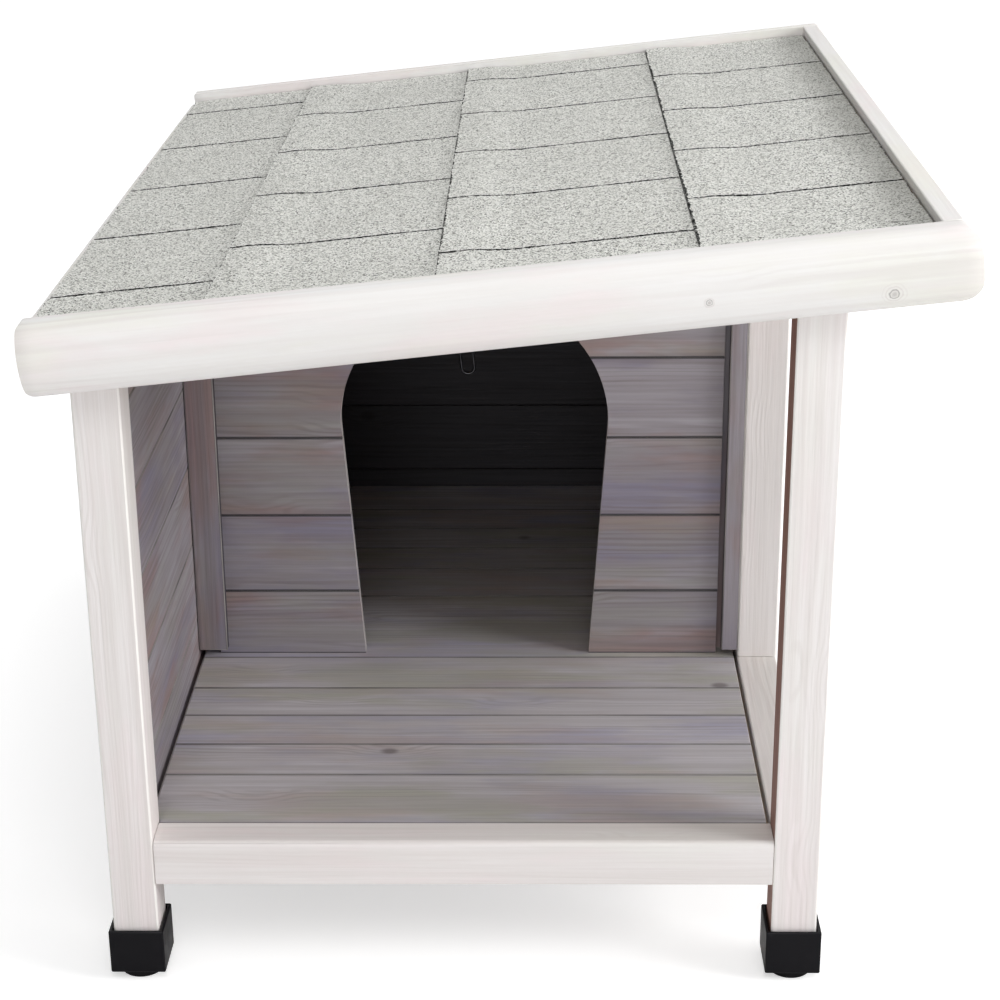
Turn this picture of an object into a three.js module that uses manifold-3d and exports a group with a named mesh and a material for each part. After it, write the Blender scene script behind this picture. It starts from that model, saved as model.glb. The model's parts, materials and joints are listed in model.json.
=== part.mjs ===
// Dog house with a covered porch, a cabin behind a partition with an arched doorway,
// a single-slope shingled roof that lifts on two hinges, and screw-adjustable feet.
// Millimetres. +X right, +Y from the porch to the rear, +Z up. The pieces are laid out from
// the middle between the posts, the front faces of the front posts and the ground.
import * as THREE from 'three';
import { mergeVertices } from 'three/addons/utils/BufferGeometryUtils.js';
import Module from 'manifold-3d';

// --- frame ---------------------------------------------------------------------------
const postSize = 38;
const frameWidth = 592;
const frameDepth = 858;
const porchDepth = 358;
const railHeight = 40;
const frontRailThickness = 32;
const frontRailRounding = 5;
const railEndGap = 0.5;
const ledgerThickness = 18;
const ledgerHeight = 20;
const bearerWidth = 36;
const bearerHeight = 30;
const topRailHeight = 42;

// --- floor ---------------------------------------------------------------------------
const floorTop = 132;
const floorThickness = 12;
const floorLeftGap = 4.5;
const floorRightGap = 3.5;
const boardGap = 0.8;
const porchBoards = [85.5, 57.5, 57.5, 57.5, 68];
const cabinBoards = [149, 73.5, 58, 58, 58, 77.5];

// --- walls ---------------------------------------------------------------------------
const wallThickness = 12;
const wallSetIn = 14;
const plankHeight = 79;
const grooveWidth = 2;
const grooveDepth = 1.5;
const leftFootPlank = 52;
const rearFootPlank = 33;
const rightFootPlank = 67;

// --- partition and doorway -----------------------------------------------------------
const partitionThickness = 12;
const partitionFootPlank = 67;
const partitionLeftGap = 20;
const partitionRightGap = 20.5;
const doorwayOffset = 3;
const doorwayRadius = 126.5;
const doorwaySpring = 240;
const doorwayFootHalf = 109.5;
const stileThickness = 15;
const leftStileWidth = 30;
const rightStileWidth = 36;
const battenThickness = 10;
const leftBattenWidth = 28;
const rightBattenWidth = 16;
const battenWallGap = 0.5;
const battenFootGap = 7.5;

// --- roof, along the slope from above the middle of the frame -------------------------
const roofSlope = 6;
const roofHeight = 620;
const lowOverhang = 33;
const highOverhang = 67;
const frontOverhang = 5;
const rearOverhang = 35;
const deckDrop = 12;
const deckThickness = 9;
const lowTrimThickness = 18;
const lowTrimProud = 4;
const highTrimThickness = 16;
const trimHeight = 50;
const fasciaHeight = 57.5;
const fasciaDepth = 36;
const fasciaNose = 22;
const fasciaPastTrim = 7;
const fasciaLowRounding = { top: 3, foot: 10 };
const fasciaHighRounding = { top: 13, foot: 20 };
const roofBattenWidth = 30;
const roofBattenDepth = 20;
const roofBattenEndGap = 16;
const frontRoofBattenInset = 138;
const rearRoofBattenInset = 243;

// --- shingles ------------------------------------------------------------------------
const shingleThickness = 2.7;
const courseExposures = [133, 178.5, 201];
const courseLap = 19;
const tabWidth = 184;
const oddTabStart = 84;
const evenTabStart = 175;
const tabSlot = 3.5;
const tabHeadStrip = 8;

// --- hinges --------------------------------------------------------------------------
const hingeLength = 60;
const frontHingeInset = 200;
const rearHingeInset = 138;
const leafThickness = 1.5;
const leafHeight = 30;
const knuckleRadius = 4;
const knuckleGap = 0.5;
const pinRadius = 2;
const pinHeadRadius = 3.2;
const pinHeadThickness = 1.5;

// --- roof prop -----------------------------------------------------------------------
const propWireRadius = 1.6;
const propWidth = 16.5;
const propLength = 225;
const propOffset = 37.5;
const propBend = 2.5;
const propEndGap = 2;
const lugGauge = 2;
const lugWidth = 10;
const lugDrop = 9;
const lugSpread = 3;
const bracketLength = 36;

// --- feet ----------------------------------------------------------------------------
const capWall = 3;
const capClearance = 1.25;
const capHeight = 40;
const capFloor = 3;
const padRadius = 18.6;
const padHeight = 7.7;
const padRounding = 1.5;
const studRadius = 4;
const studLength = 26;

// --- clearances ----------------------------------------------------------------------
const seat = 0.3;
const turning = 0.3;
// Cutting solids reach this far past the faces that they open.
const overshoot = 1;
const roundSegments = 24;

// --- places that follow from the sizes above ------------------------------------------
const outer = frameWidth / 2;
const inner = outer - postSize;
const rearPostFront = frameDepth - postSize;
const midPostRear = porchDepth + postSize;
const floorUnder = floorTop - floorThickness;
const wallOuter = outer - wallSetIn;
const wallInner = wallOuter - wallThickness;
const floorLeft = -wallInner + floorLeftGap;
const floorRight = inner - floorRightGap;
const rearWallFront = frameDepth - wallSetIn - wallThickness;
const partitionFront = porchDepth + battenThickness;
const partitionRear = partitionFront + partitionThickness;
const slope = THREE.MathUtils.degToRad(roofSlope);
const roofFront = -frontOverhang;
const roofRear = frameDepth + rearOverhang;
const lowEdge = outer + lowOverhang;
const highEdge = outer + highOverhang;
const capUnder = padHeight + seat;
const postFoot = capUnder + capFloor;

// Height of the deck's underside over a place across the frame, less the gap it rests with.
const deckUnderside = (x) => (
  roofHeight + x * Math.tan(slope) - (deckDrop + deckThickness + seat) / Math.cos(slope)
);
const leftTopRailUnder = deckUnderside(-wallInner) - topRailHeight;
const rightTopRailUnder = deckUnderside(inner) - topRailHeight;

// --- materials -----------------------------------------------------------------------
const whitewash = new THREE.MeshStandardMaterial({ color: 0xe9e5e1, roughness: 0.62 });
const greyStain = new THREE.MeshStandardMaterial({ color: 0x7e7a7c, roughness: 0.7 });
const bareBoard = new THREE.MeshStandardMaterial({ color: 0xb59f80, roughness: 0.8 });
const shingleFelt = new THREE.MeshStandardMaterial({ color: 0xc4c7c0, roughness: 0.95 });
const zincSteel = new THREE.MeshStandardMaterial({ color: 0x9b9b99, roughness: 0.4, metalness: 1 });
const blackPlastic = new THREE.MeshStandardMaterial({ color: 0x1c1b20, roughness: 0.5 });
const blackRubber = new THREE.MeshStandardMaterial({ color: 0x161517, roughness: 0.8 });

// --- solids --------------------------------------------------------------------------
const wasm = await Module();
wasm.setup();

function toSolid(geometry) {
  const bare = geometry.clone();
  bare.deleteAttribute('normal');
  bare.deleteAttribute('uv');
  const merged = mergeVertices(bare, 1e-4);
  return new wasm.Manifold(new wasm.Mesh({
    numProp: 3,
    vertProperties: new Float32Array(merged.attributes.position.array),
    triVerts: new Uint32Array(merged.index.array),
  }));
}

function toGeometry(solid) {
  const { vertProperties, triVerts } = solid.getMesh();
  const geometry = new THREE.BufferGeometry();
  geometry.setAttribute('position', new THREE.BufferAttribute(new Float32Array(vertProperties), 3));
  geometry.setIndex(new THREE.BufferAttribute(new Uint32Array(triVerts), 1));
  const flat = geometry.toNonIndexed();
  flat.computeVertexNormals();
  return flat;
}

function cut(body, ...tools) {
  return toGeometry(tools.reduce((rest, tool) => rest.subtract(toSolid(tool)), toSolid(body)));
}

function join(body, ...others) {
  return toGeometry(others.reduce((whole, other) => whole.add(toSolid(other)), toSolid(body)));
}

function overlap(body, other) {
  return toGeometry(toSolid(body).intersect(toSolid(other)));
}

// A straight bar of any section. Its end faces lie exactly at the two places along the axis,
// so that bars which meet there share the same number.
// The outline runs over (Y, Z) for a bar along x, (X, Z) along y and (X, Y) along z.
function bar(axis, outline, from, to) {
  const shape = outline instanceof THREE.Shape
    ? outline
    : new THREE.Shape(outline.map(([a, b]) => new THREE.Vector2(a, b)));
  const geometry = new THREE.ExtrudeGeometry(shape, {
    depth: 1, bevelEnabled: false, curveSegments: roundSegments / 2,
  });
  const points = geometry.attributes.position;
  for (let i = 0; i < points.count; i += 1) {
    const a = points.getX(i);
    const b = points.getY(i);
    const far = points.getZ(i) > 0.5;
    if (axis === 'x') points.setXYZ(i, far ? to : from, a, b);
    if (axis === 'y') points.setXYZ(i, a, far ? from : to, b);
    if (axis === 'z') points.setXYZ(i, a, b, far ? to : from);
  }
  geometry.computeVertexNormals();
  return geometry;
}

function block([x0, x1], [y0, y1], [z0, z1]) {
  return bar('z', [[x0, y0], [x1, y0], [x1, y1], [x0, y1]], z0, z1);
}

// A timber under the roof: level at the foot, cut to the slope at the head.
function underRoof([x0, x1], [y0, y1], foot) {
  return bar('y', [[x0, foot], [x1, foot], [x1, deckUnderside(x1)], [x0, deckUnderside(x0)]], y0, y1);
}

function roundBar(axis, radius, [a, b], from, to) {
  const circle = new THREE.Shape().absarc(a, b, radius, 0, Math.PI * 2);
  return bar(axis, circle, from, to);
}

// --- scene graph ---------------------------------------------------------------------
const house = new THREE.Group();
const roof = new THREE.Group();
roof.position.z = roofHeight;
roof.rotation.y = -slope;
house.add(roof);

function place(parent, name, geometry, material) {
  const mesh = new THREE.Mesh(geometry, material);
  mesh.name = name;
  parent.add(mesh);
  return mesh;
}

// --- posts, bored for the studs of the feet -------------------------------------------
const postColumns = { left: [-outer, -inner], right: [inner, outer] };
const postRows = { front: [0, postSize], rear: [rearPostFront, frameDepth] };
const middle = ([a, b]) => (a + b) / 2;
const studBore = studRadius + turning;

for (const [row, depths] of Object.entries(postRows)) {
  for (const [side, widths] of Object.entries(postColumns)) {
    const bore = roundBar(
      'z', studBore, [middle(widths), middle(depths)], capUnder - seat, padHeight + studLength + seat,
    );
    place(house, `post_${row}_${side}`, cut(underRoof(widths, depths, postFoot), bore), whitewash);
  }
}
place(
  house, 'post_middle_right',
  block([inner, outer], [porchDepth, midPostRear], [floorTop, rightTopRailUnder]), whitewash,
);

// --- rails ---------------------------------------------------------------------------
const frontRailSection = new THREE.Shape();
frontRailSection.moveTo(0, floorTop - railHeight);
frontRailSection.lineTo(frontRailThickness, floorTop - railHeight);
frontRailSection.lineTo(frontRailThickness, floorTop);
frontRailSection.lineTo(frontRailRounding, floorTop);
frontRailSection.absarc(
  frontRailRounding, floorTop - frontRailRounding, frontRailRounding, Math.PI / 2, Math.PI,
);
place(
  house, 'rail_front_bottom',
  bar('x', frontRailSection, -inner + railEndGap, inner - railEndGap), whitewash,
);
place(
  house, 'rail_right_bottom',
  block([inner, outer], [postSize, rearPostFront], [floorTop - railHeight, floorTop]), whitewash,
);
place(
  house, 'rail_left_bottom',
  block([-outer, -inner], [postSize, rearPostFront], [floorUnder - railHeight, floorUnder]), whitewash,
);
place(
  house, 'rail_rear_bottom',
  block([-inner, inner], [rearPostFront, frameDepth], [floorUnder - railHeight, floorUnder]), whitewash,
);
place(
  house, 'rail_left_top',
  underRoof([-outer, -wallInner], [postSize, rearPostFront], leftTopRailUnder), whitewash,
);
place(
  house, 'rail_right_top',
  underRoof([inner, outer], [postSize, rearPostFront], rightTopRailUnder), whitewash,
);

// --- what carries the floor -----------------------------------------------------------
const ledgerFoot = floorUnder - ledgerHeight;
const ledgerRear = frontRailThickness + ledgerThickness;
place(
  house, 'floor_ledger_front',
  block([-inner, inner - ledgerThickness], [frontRailThickness, ledgerRear], [ledgerFoot, floorUnder]),
  bareBoard,
);
place(
  house, 'floor_ledger_right',
  block([inner - ledgerThickness, inner], [postSize, rearPostFront], [ledgerFoot, floorUnder]),
  bareBoard,
);
const bearerFront = porchDepth - bearerWidth / 2;
place(
  house, 'floor_bearer',
  block(
    [-inner, inner - ledgerThickness], [bearerFront, bearerFront + bearerWidth],
    [floorUnder - bearerHeight, floorUnder],
  ),
  bareBoard,
);

// --- floor boards, notched where a left post stands in their way -------------------------
function floorBoard(name, front, rear) {
  const outline = [[floorLeft, front], [floorRight, front], [floorRight, rear], [floorLeft, rear]];
  const clearOfFrontPost = postSize + boardGap;
  const clearOfRearPost = rearPostFront - boardGap;
  const clearOfPosts = -inner + boardGap;
  if (front < clearOfFrontPost) {
    outline.splice(
      0, 1, [floorLeft, clearOfFrontPost], [clearOfPosts, clearOfFrontPost], [clearOfPosts, front],
    );
  }
  if (rear > clearOfRearPost) {
    outline.splice(
      -1, 1, [clearOfPosts, rear], [clearOfPosts, clearOfRearPost], [floorLeft, clearOfRearPost],
    );
  }
  place(house, name, bar('z', outline, floorUnder, floorTop), greyStain);
}

// The boards keep their proportions and together fill the run from front to rear.
function floorRun(label, front, rear, boards) {
  const total = boards.reduce((sum, width) => sum + width, 0);
  let edge = front;
  boards.forEach((width, i) => {
    const next = edge + width * ((rear - front) / total);
    floorBoard(`${label}_board_${i + 1}`, edge + boardGap / 2, next - boardGap / 2);
    edge = next;
  });
}

floorRun('porch', frontRailThickness, porchDepth, porchBoards);
floorRun('cabin', porchDepth, rearWallFront, cabinBoards);

// --- planked walls, each glued up from tongued boards with a groove at every seam ---------
function seams(foot, footPlank, head) {
  const heights = [];
  for (let z = foot + footPlank; z < head; z += plankHeight) heights.push(z);
  return heights;
}

// V-grooves along both faces of a wall, their outlines over (t, Z), where t crosses its thickness.
// An outline is reversed on the lower face, so that both turn the same way.
function grooves(axis, [lowFace, highFace], [from, to], heights) {
  const sides = [{ face: lowFace, out: -1 }, { face: highFace, out: 1 }];
  return heights.flatMap((z) => sides.map(({ face, out }) => {
    const mouth = face + out * overshoot;
    const outline = [
      [mouth, z - grooveWidth / 2], [face - out * grooveDepth, z], [mouth, z + grooveWidth / 2],
    ];
    return bar(axis, out > 0 ? outline : outline.reverse(), from - overshoot, to + overshoot);
  }));
}

const leftSeams = seams(floorUnder, leftFootPlank, leftTopRailUnder - plankHeight / 4);
place(
  house, 'wall_left',
  cut(
    block([-wallOuter, -wallInner], [postSize, rearPostFront], [floorUnder, leftTopRailUnder]),
    ...grooves('y', [-wallOuter, -wallInner], [postSize, rearPostFront], leftSeams),
  ),
  greyStain,
);

const rightSeams = seams(floorTop, rightFootPlank, rightTopRailUnder - plankHeight / 4);
place(
  house, 'wall_right',
  cut(
    block([wallInner, wallOuter], [midPostRear, rearPostFront], [floorTop, rightTopRailUnder]),
    ...grooves('y', [wallInner, wallOuter], [midPostRear, rearPostFront], rightSeams),
  ),
  greyStain,
);

const rearWallRear = rearWallFront + wallThickness;
const rearSeams = seams(floorUnder, rearFootPlank, deckUnderside(-inner) - plankHeight / 4);
place(
  house, 'wall_rear',
  cut(
    underRoof([-inner, inner], [rearWallFront, rearWallRear], floorUnder),
    ...grooves('x', [rearWallFront, rearWallRear], [-inner, inner], rearSeams),
  ),
  greyStain,
);

// --- partition with its doorway ---------------------------------------------------------
const partitionLeft = -wallInner + partitionLeftGap;
const partitionRight = inner - partitionRightGap;
const springHeight = floorTop + doorwaySpring;
const doorway = new THREE.Shape();
doorway.moveTo(doorwayOffset - doorwayFootHalf, floorTop - overshoot);
doorway.lineTo(doorwayOffset + doorwayFootHalf, floorTop - overshoot);
doorway.lineTo(doorwayOffset + doorwayRadius, springHeight);
doorway.absarc(doorwayOffset, springHeight, doorwayRadius, 0, Math.PI);
const partitionSeams = seams(floorTop, partitionFootPlank, deckUnderside(partitionLeft) - plankHeight / 4);
place(
  house, 'partition',
  cut(
    underRoof([partitionLeft, partitionRight], [partitionFront, partitionRear], floorTop),
    bar('y', doorway, partitionFront - overshoot, partitionRear + overshoot),
    ...grooves('x', [partitionFront, partitionRear], [partitionLeft, partitionRight], partitionSeams),
  ),
  greyStain,
);

const stileRear = partitionRear + stileThickness;
place(
  house, 'partition_stile_left',
  underRoof([-wallInner, -wallInner + leftStileWidth], [partitionRear, stileRear], floorTop)
    .translate(seat, 0, 0),
  greyStain,
);
place(
  house, 'partition_stile_right',
  underRoof([inner - rightStileWidth, inner], [partitionRear, stileRear], floorTop), greyStain,
);

const battenFoot = floorTop + battenFootGap;
const leftBattenFrom = -wallInner + battenWallGap;
place(
  house, 'partition_batten_left',
  underRoof([leftBattenFrom, leftBattenFrom + leftBattenWidth], [porchDepth, partitionFront], battenFoot),
  greyStain,
);
place(
  house, 'partition_batten_right',
  underRoof([inner - rightBattenWidth, inner], [porchDepth, partitionFront], battenFoot), greyStain,
);

// --- roof: trims and deck, in the roof's own frame (x up the slope, z off the slope) -------
const deckTop = -deckDrop;
const deckUnder = deckTop - deckThickness;
const lowTrimOuter = -lowEdge - lowTrimProud;
const lowTrimInner = lowTrimOuter + lowTrimThickness;
const highTrimOuter = highEdge + highTrimThickness;
const roofRun = [roofFront + seat, roofRear - seat];

place(
  roof, 'roof_deck', block([lowTrimInner + seat, highEdge - seat], roofRun, [deckUnder, deckTop]), bareBoard,
);
place(
  roof, 'roof_trim_low',
  block([lowTrimOuter, lowTrimInner], roofRun, [-trimHeight, deckTop]), whitewash,
);
place(
  roof, 'roof_trim_high', block([highEdge, highTrimOuter], roofRun, [-trimHeight, 0]), whitewash,
);

const rearRoofBattenPlace = frameDepth - rearRoofBattenInset - roofBattenWidth;
const roofBattenPlaces = {
  front: porchDepth - frontRoofBattenInset - roofBattenWidth,
  rear: rearRoofBattenPlace,
};
const battenTop = deckUnder - seat;
const battenUnder = battenTop - roofBattenDepth;
for (const [row, y] of Object.entries(roofBattenPlaces)) {
  place(
    roof, `roof_batten_${row}`,
    block(
      [-inner + roofBattenEndGap, inner - roofBattenEndGap], [y, y + roofBattenWidth],
      [battenUnder, battenTop],
    ),
    bareBoard,
  );
}

// --- front and rear fascias: a half-round nose, the ends rounded in front view ------------
const fasciaHighEnd = highTrimOuter + fasciaPastTrim;

function fasciaSection(back, out) {
  const straight = fasciaDepth - fasciaNose;
  const half = fasciaHeight / 2;
  const outline = [[back, 0], [back, -fasciaHeight]];
  const steps = roundSegments / 2;
  for (let i = 0; i <= steps; i += 1) {
    const angle = -Math.PI / 2 + Math.PI * (i / steps);
    outline.push([
      back + out * (straight + fasciaNose * Math.cos(angle)), -half + half * Math.sin(angle),
    ]);
  }
  return out > 0 ? outline : outline.reverse();
}

function fasciaFace() {
  const low = fasciaLowRounding;
  const high = fasciaHighRounding;
  const face = new THREE.Shape();
  face.moveTo(-lowEdge + low.foot, -fasciaHeight);
  face.lineTo(fasciaHighEnd - high.foot, -fasciaHeight);
  face.absarc(fasciaHighEnd - high.foot, -fasciaHeight + high.foot, high.foot, -Math.PI / 2, 0);
  face.absarc(fasciaHighEnd - high.top, -high.top, high.top, 0, Math.PI / 2);
  face.absarc(-lowEdge + low.top, -low.top, low.top, Math.PI / 2, Math.PI);
  face.absarc(-lowEdge + low.foot, -fasciaHeight + low.foot, low.foot, Math.PI, Math.PI * 1.5);
  return face;
}

function fascia(name, back, out) {
  const ends = [-lowEdge - overshoot, fasciaHighEnd + overshoot];
  const depths = [back, back + out * fasciaDepth].sort((a, b) => a - b);
  place(
    roof, name,
    overlap(
      bar('x', fasciaSection(back, out), ...ends),
      bar('y', fasciaFace(), depths[0] - overshoot, depths[1] + overshoot),
    ),
    whitewash,
  );
}
fascia('fascia_front', roofFront, -1);
fascia('fascia_rear', roofRear, 1);

// --- shingle courses: each laps over the head of the course below --------------------------
const courseBed = deckTop + seat;
const courseTop = courseBed + shingleThickness;
const lapRise = shingleThickness + seat;

function courseSection(low, high, laps) {
  if (!laps) return [[low, courseBed], [high, courseBed], [high, courseTop], [low, courseTop]];
  const step = low + courseLap + seat;
  return [
    [low, courseBed + lapRise], [step, courseBed + lapRise], [step, courseBed], [high, courseBed],
    [high, courseTop], [step + lapRise, courseTop], [step, courseTop + lapRise], [low, courseTop + lapRise],
  ];
}

function shingleCourse(index, low, head, tabStart) {
  const slots = [];
  for (let y = roofFront + tabStart; y < roofRear - tabSlot; y += tabWidth) {
    slots.push(block([low - overshoot, head - tabHeadStrip], [y, y + tabSlot], [courseBed - overshoot, 0]));
  }
  const body = bar('y', courseSection(low, head, index > 0), ...roofRun);
  place(roof, `shingle_course_${index + 1}`, cut(body, ...slots), shingleFelt);
}

const courseEdges = [-lowEdge];
for (const exposure of courseExposures) courseEdges.push(courseEdges.at(-1) + exposure);
courseEdges.forEach((low, index) => {
  const next = courseEdges[index + 1];
  const head = next === undefined ? highEdge - seat : next + courseLap;
  shingleCourse(index, low, head, index % 2 === 0 ? oddTabStart : evenTabStart);
});

// --- hinges: the fixed leaf on the low top rail, the moving leaf on the low trim ------------
// The pin's axis lies midway between the rail and the trim's lower inner edge.
const trimCorner = new THREE.Vector3(lowTrimInner, 0, -trimHeight)
  .applyAxisAngle(new THREE.Vector3(0, 1, 0), -slope)
  .add(roof.position);
const hingeX = (trimCorner.x - outer) / 2;
const hingeZ = trimCorner.z;
const hingeInRoof = new THREE.Vector3(hingeX, 0, hingeZ)
  .sub(roof.position)
  .applyAxisAngle(new THREE.Vector3(0, 1, 0), slope);
const pinBore = pinRadius + turning;
const webHalf = leafThickness;

function knuckles([a, b], spans) {
  return spans.map(([from, to]) => roundBar('y', knuckleRadius, [a, b], from, to));
}

function fixedLeaf(y) {
  const third = hingeLength / 3;
  const ends = [[y, y + third - knuckleGap], [y + 2 * third + knuckleGap, y + hingeLength]];
  const plate = block(
    [-outer - leafThickness, -outer], [y, y + hingeLength], [hingeZ + webHalf - leafHeight, hingeZ + webHalf],
  );
  const webs = ends.map(([from, to]) => (
    block([hingeX, -outer - leafThickness / 2], [from, to], [hingeZ - webHalf, hingeZ + webHalf])
  ));
  const whole = join(plate, ...webs, ...knuckles([hingeX, hingeZ], ends));
  return cut(whole, roundBar('y', pinBore, [hingeX, hingeZ], y - overshoot, y + hingeLength + overshoot));
}

function movingLeaf(y) {
  const third = hingeLength / 3;
  const span = [y + third, y + 2 * third];
  const { x: u, z: w } = hingeInRoof;
  const plateFrom = lowTrimInner + seat;
  const plate = block(
    [plateFrom, plateFrom + leafThickness], [y, y + hingeLength], [w - webHalf, w - webHalf + leafHeight],
  );
  const web = block([plateFrom + leafThickness / 2, u], span, [w - webHalf, w + webHalf]);
  const whole = join(plate, web, ...knuckles([u, w], [span]));
  return cut(whole, roundBar('y', pinBore, [u, w], y - overshoot, y + hingeLength + overshoot));
}

function hingePin(y) {
  const centre = [hingeX, hingeZ];
  const from = y - seat;
  const to = y + hingeLength + seat;
  return join(
    roundBar('y', pinRadius, centre, from - pinHeadThickness / 2, to + pinHeadThickness / 2),
    roundBar('y', pinHeadRadius, centre, from - pinHeadThickness, from),
    roundBar('y', pinHeadRadius, centre, to, to + pinHeadThickness),
  );
}

const hingePlaces = { front: frontHingeInset, rear: frameDepth - rearHingeInset - hingeLength };
for (const [row, y] of Object.entries(hingePlaces)) {
  place(house, `hinge_${row}_fixed_leaf`, fixedLeaf(y), zincSteel);
  place(roof, `hinge_${row}_moving_leaf`, movingLeaf(y), zincSteel);
  place(house, `hinge_${row}_pin`, hingePin(y), zincSteel);
}

// --- roof prop: a wire hairpin whose inturned ends turn in the two lugs of a bracket --------
const bracketTop = battenUnder - seat;
const pivotDrop = bracketTop - lugDrop / 2 - lugGauge;
const propY = rearRoofBattenPlace + roofBattenWidth / 2;

const bracket = new THREE.Group();
bracket.position.set(-propOffset, propY, bracketTop);
roof.add(bracket);
const lugBore = propWireRadius + turning;
place(
  bracket, 'prop_bracket',
  cut(
    join(
      block(
        [-lugSpread / 2 - lugGauge, lugSpread / 2 + lugGauge], [-bracketLength / 2, bracketLength / 2],
        [-lugGauge, 0],
      ),
      ...[-1, 1].map((side) => {
        const faces = [side * lugSpread / 2, side * (lugSpread / 2 + lugGauge)].sort((a, b) => a - b);
        return block(faces, [-lugWidth / 2, lugWidth / 2], [-lugGauge - lugDrop, -lugGauge / 2]);
      }),
    ),
    roundBar('x', lugBore, [0, pivotDrop - bracketTop], -propWidth, propWidth),
  ),
  zincSteel,
);

const legPlace = propWidth / 2 - propWireRadius;
const uEnd = propLength - legPlace - propWireRadius;
const propRoute = new THREE.CurvePath();
const at = (x, z) => new THREE.Vector3(x, 0, z);
const quarter = (from, corner, to) => new THREE.QuadraticBezierCurve3(from, corner, to);
propRoute.add(new THREE.LineCurve3(at(-propEndGap / 2, 0), at(-legPlace + propBend, 0)));
propRoute.add(quarter(at(-legPlace + propBend, 0), at(-legPlace, 0), at(-legPlace, -propBend)));
propRoute.add(new THREE.LineCurve3(at(-legPlace, -propBend), at(-legPlace, -uEnd)));
const reach = legPlace * (4 / 3) * Math.tan(Math.PI / 8);
propRoute.add(new THREE.CubicBezierCurve3(
  at(-legPlace, -uEnd), at(-legPlace, -uEnd - reach), at(-reach, -uEnd - legPlace), at(0, -uEnd - legPlace),
));
propRoute.add(new THREE.CubicBezierCurve3(
  at(0, -uEnd - legPlace), at(reach, -uEnd - legPlace), at(legPlace, -uEnd - reach), at(legPlace, -uEnd),
));
propRoute.add(new THREE.LineCurve3(at(legPlace, -uEnd), at(legPlace, -propBend)));
propRoute.add(quarter(at(legPlace, -propBend), at(legPlace, 0), at(legPlace - propBend, 0)));
propRoute.add(new THREE.LineCurve3(at(legPlace - propBend, 0), at(propEndGap / 2, 0)));
const wireSection = new THREE.Shape().absarc(0, 0, propWireRadius, 0, Math.PI * 2);
const prop = place(
  roof, 'roof_prop',
  new THREE.ExtrudeGeometry(wireSection, { extrudePath: propRoute, steps: 120, curveSegments: 4 }),
  zincSteel,
);
prop.position.set(-propOffset, propY, pivotDrop);

// --- feet: a cup round each post's end and a screw pad below it -----------------------------
const capOuterHalf = postSize / 2 + capClearance + capWall;
const capInnerHalf = postSize / 2 + capClearance;
const capTop = capUnder + capHeight;

function footCap() {
  const cup = block([-capOuterHalf, capOuterHalf], [-capOuterHalf, capOuterHalf], [capUnder, capTop]);
  const across = [-capInnerHalf, capInnerHalf];
  const room = block(across, across, [postFoot, capTop + overshoot]);
  const bore = roundBar('z', studBore, [0, 0], capUnder - overshoot, postFoot + overshoot);
  return cut(cup, room, bore);
}

function footPad() {
  const r = padRounding;
  const profile = [
    [0, 0], [padRadius - r, 0], [padRadius, r], [padRadius, padHeight - r], [padRadius - r, padHeight],
    [studRadius, padHeight], [studRadius, padHeight + studLength - r], [studRadius - r, padHeight + studLength],
    [0, padHeight + studLength],
  ].map(([a, b]) => new THREE.Vector2(a, b));
  return new THREE.LatheGeometry(profile, roundSegments).rotateX(Math.PI / 2);
}

for (const [row, depths] of Object.entries(postRows)) {
  for (const [side, widths] of Object.entries(postColumns)) {
    const foot = new THREE.Group();
    foot.position.set(middle(widths), middle(depths), 0);
    house.add(foot);
    place(foot, `foot_cap_${row}_${side}`, footCap(), blackPlastic);
    place(foot, `foot_pad_${row}_${side}`, footPad(), blackRubber);
  }
}

// --- the origin is below the middle of the whole house, on the ground -----------------------
house.updateMatrixWorld(true);
const middleOfAll = new THREE.Box3().setFromObject(house, true).getCenter(new THREE.Vector3());
house.position.set(-middleOfAll.x, -middleOfAll.y, 0);

export default house;
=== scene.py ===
# %% [markdown]
# # A dog house with a covered porch
# The house is flat-pack joinery: planed pine posts and rails with a thin whitewash, grey stained
# boards for the floor and walls, felt shingles on a single slope, and black plastic feet.
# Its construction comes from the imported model, which is loaded first and never moved. Each timber
# is then made again with eased edges and its own grain, in the same place as the plain one.

import json
import math

import bmesh
import bpy
import numpy as np
from mathutils import Matrix, Vector

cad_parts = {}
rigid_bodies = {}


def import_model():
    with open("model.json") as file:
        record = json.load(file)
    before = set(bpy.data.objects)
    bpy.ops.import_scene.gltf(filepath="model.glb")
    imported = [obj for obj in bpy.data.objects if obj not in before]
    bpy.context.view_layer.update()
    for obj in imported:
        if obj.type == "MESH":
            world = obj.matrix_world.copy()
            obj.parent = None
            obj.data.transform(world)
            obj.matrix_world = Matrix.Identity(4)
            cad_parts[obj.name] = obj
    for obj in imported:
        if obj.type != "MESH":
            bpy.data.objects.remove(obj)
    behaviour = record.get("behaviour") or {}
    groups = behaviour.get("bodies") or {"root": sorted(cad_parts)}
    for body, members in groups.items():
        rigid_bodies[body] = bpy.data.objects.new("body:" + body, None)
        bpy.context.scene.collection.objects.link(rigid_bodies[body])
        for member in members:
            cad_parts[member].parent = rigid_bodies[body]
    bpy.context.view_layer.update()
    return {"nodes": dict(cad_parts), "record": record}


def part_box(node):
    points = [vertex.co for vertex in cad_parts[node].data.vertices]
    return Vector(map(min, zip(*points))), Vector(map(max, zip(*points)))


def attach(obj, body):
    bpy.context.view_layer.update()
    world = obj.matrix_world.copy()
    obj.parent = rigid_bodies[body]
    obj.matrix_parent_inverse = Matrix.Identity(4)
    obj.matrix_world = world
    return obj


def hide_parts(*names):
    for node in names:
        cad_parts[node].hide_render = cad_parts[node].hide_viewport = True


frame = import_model()

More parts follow.
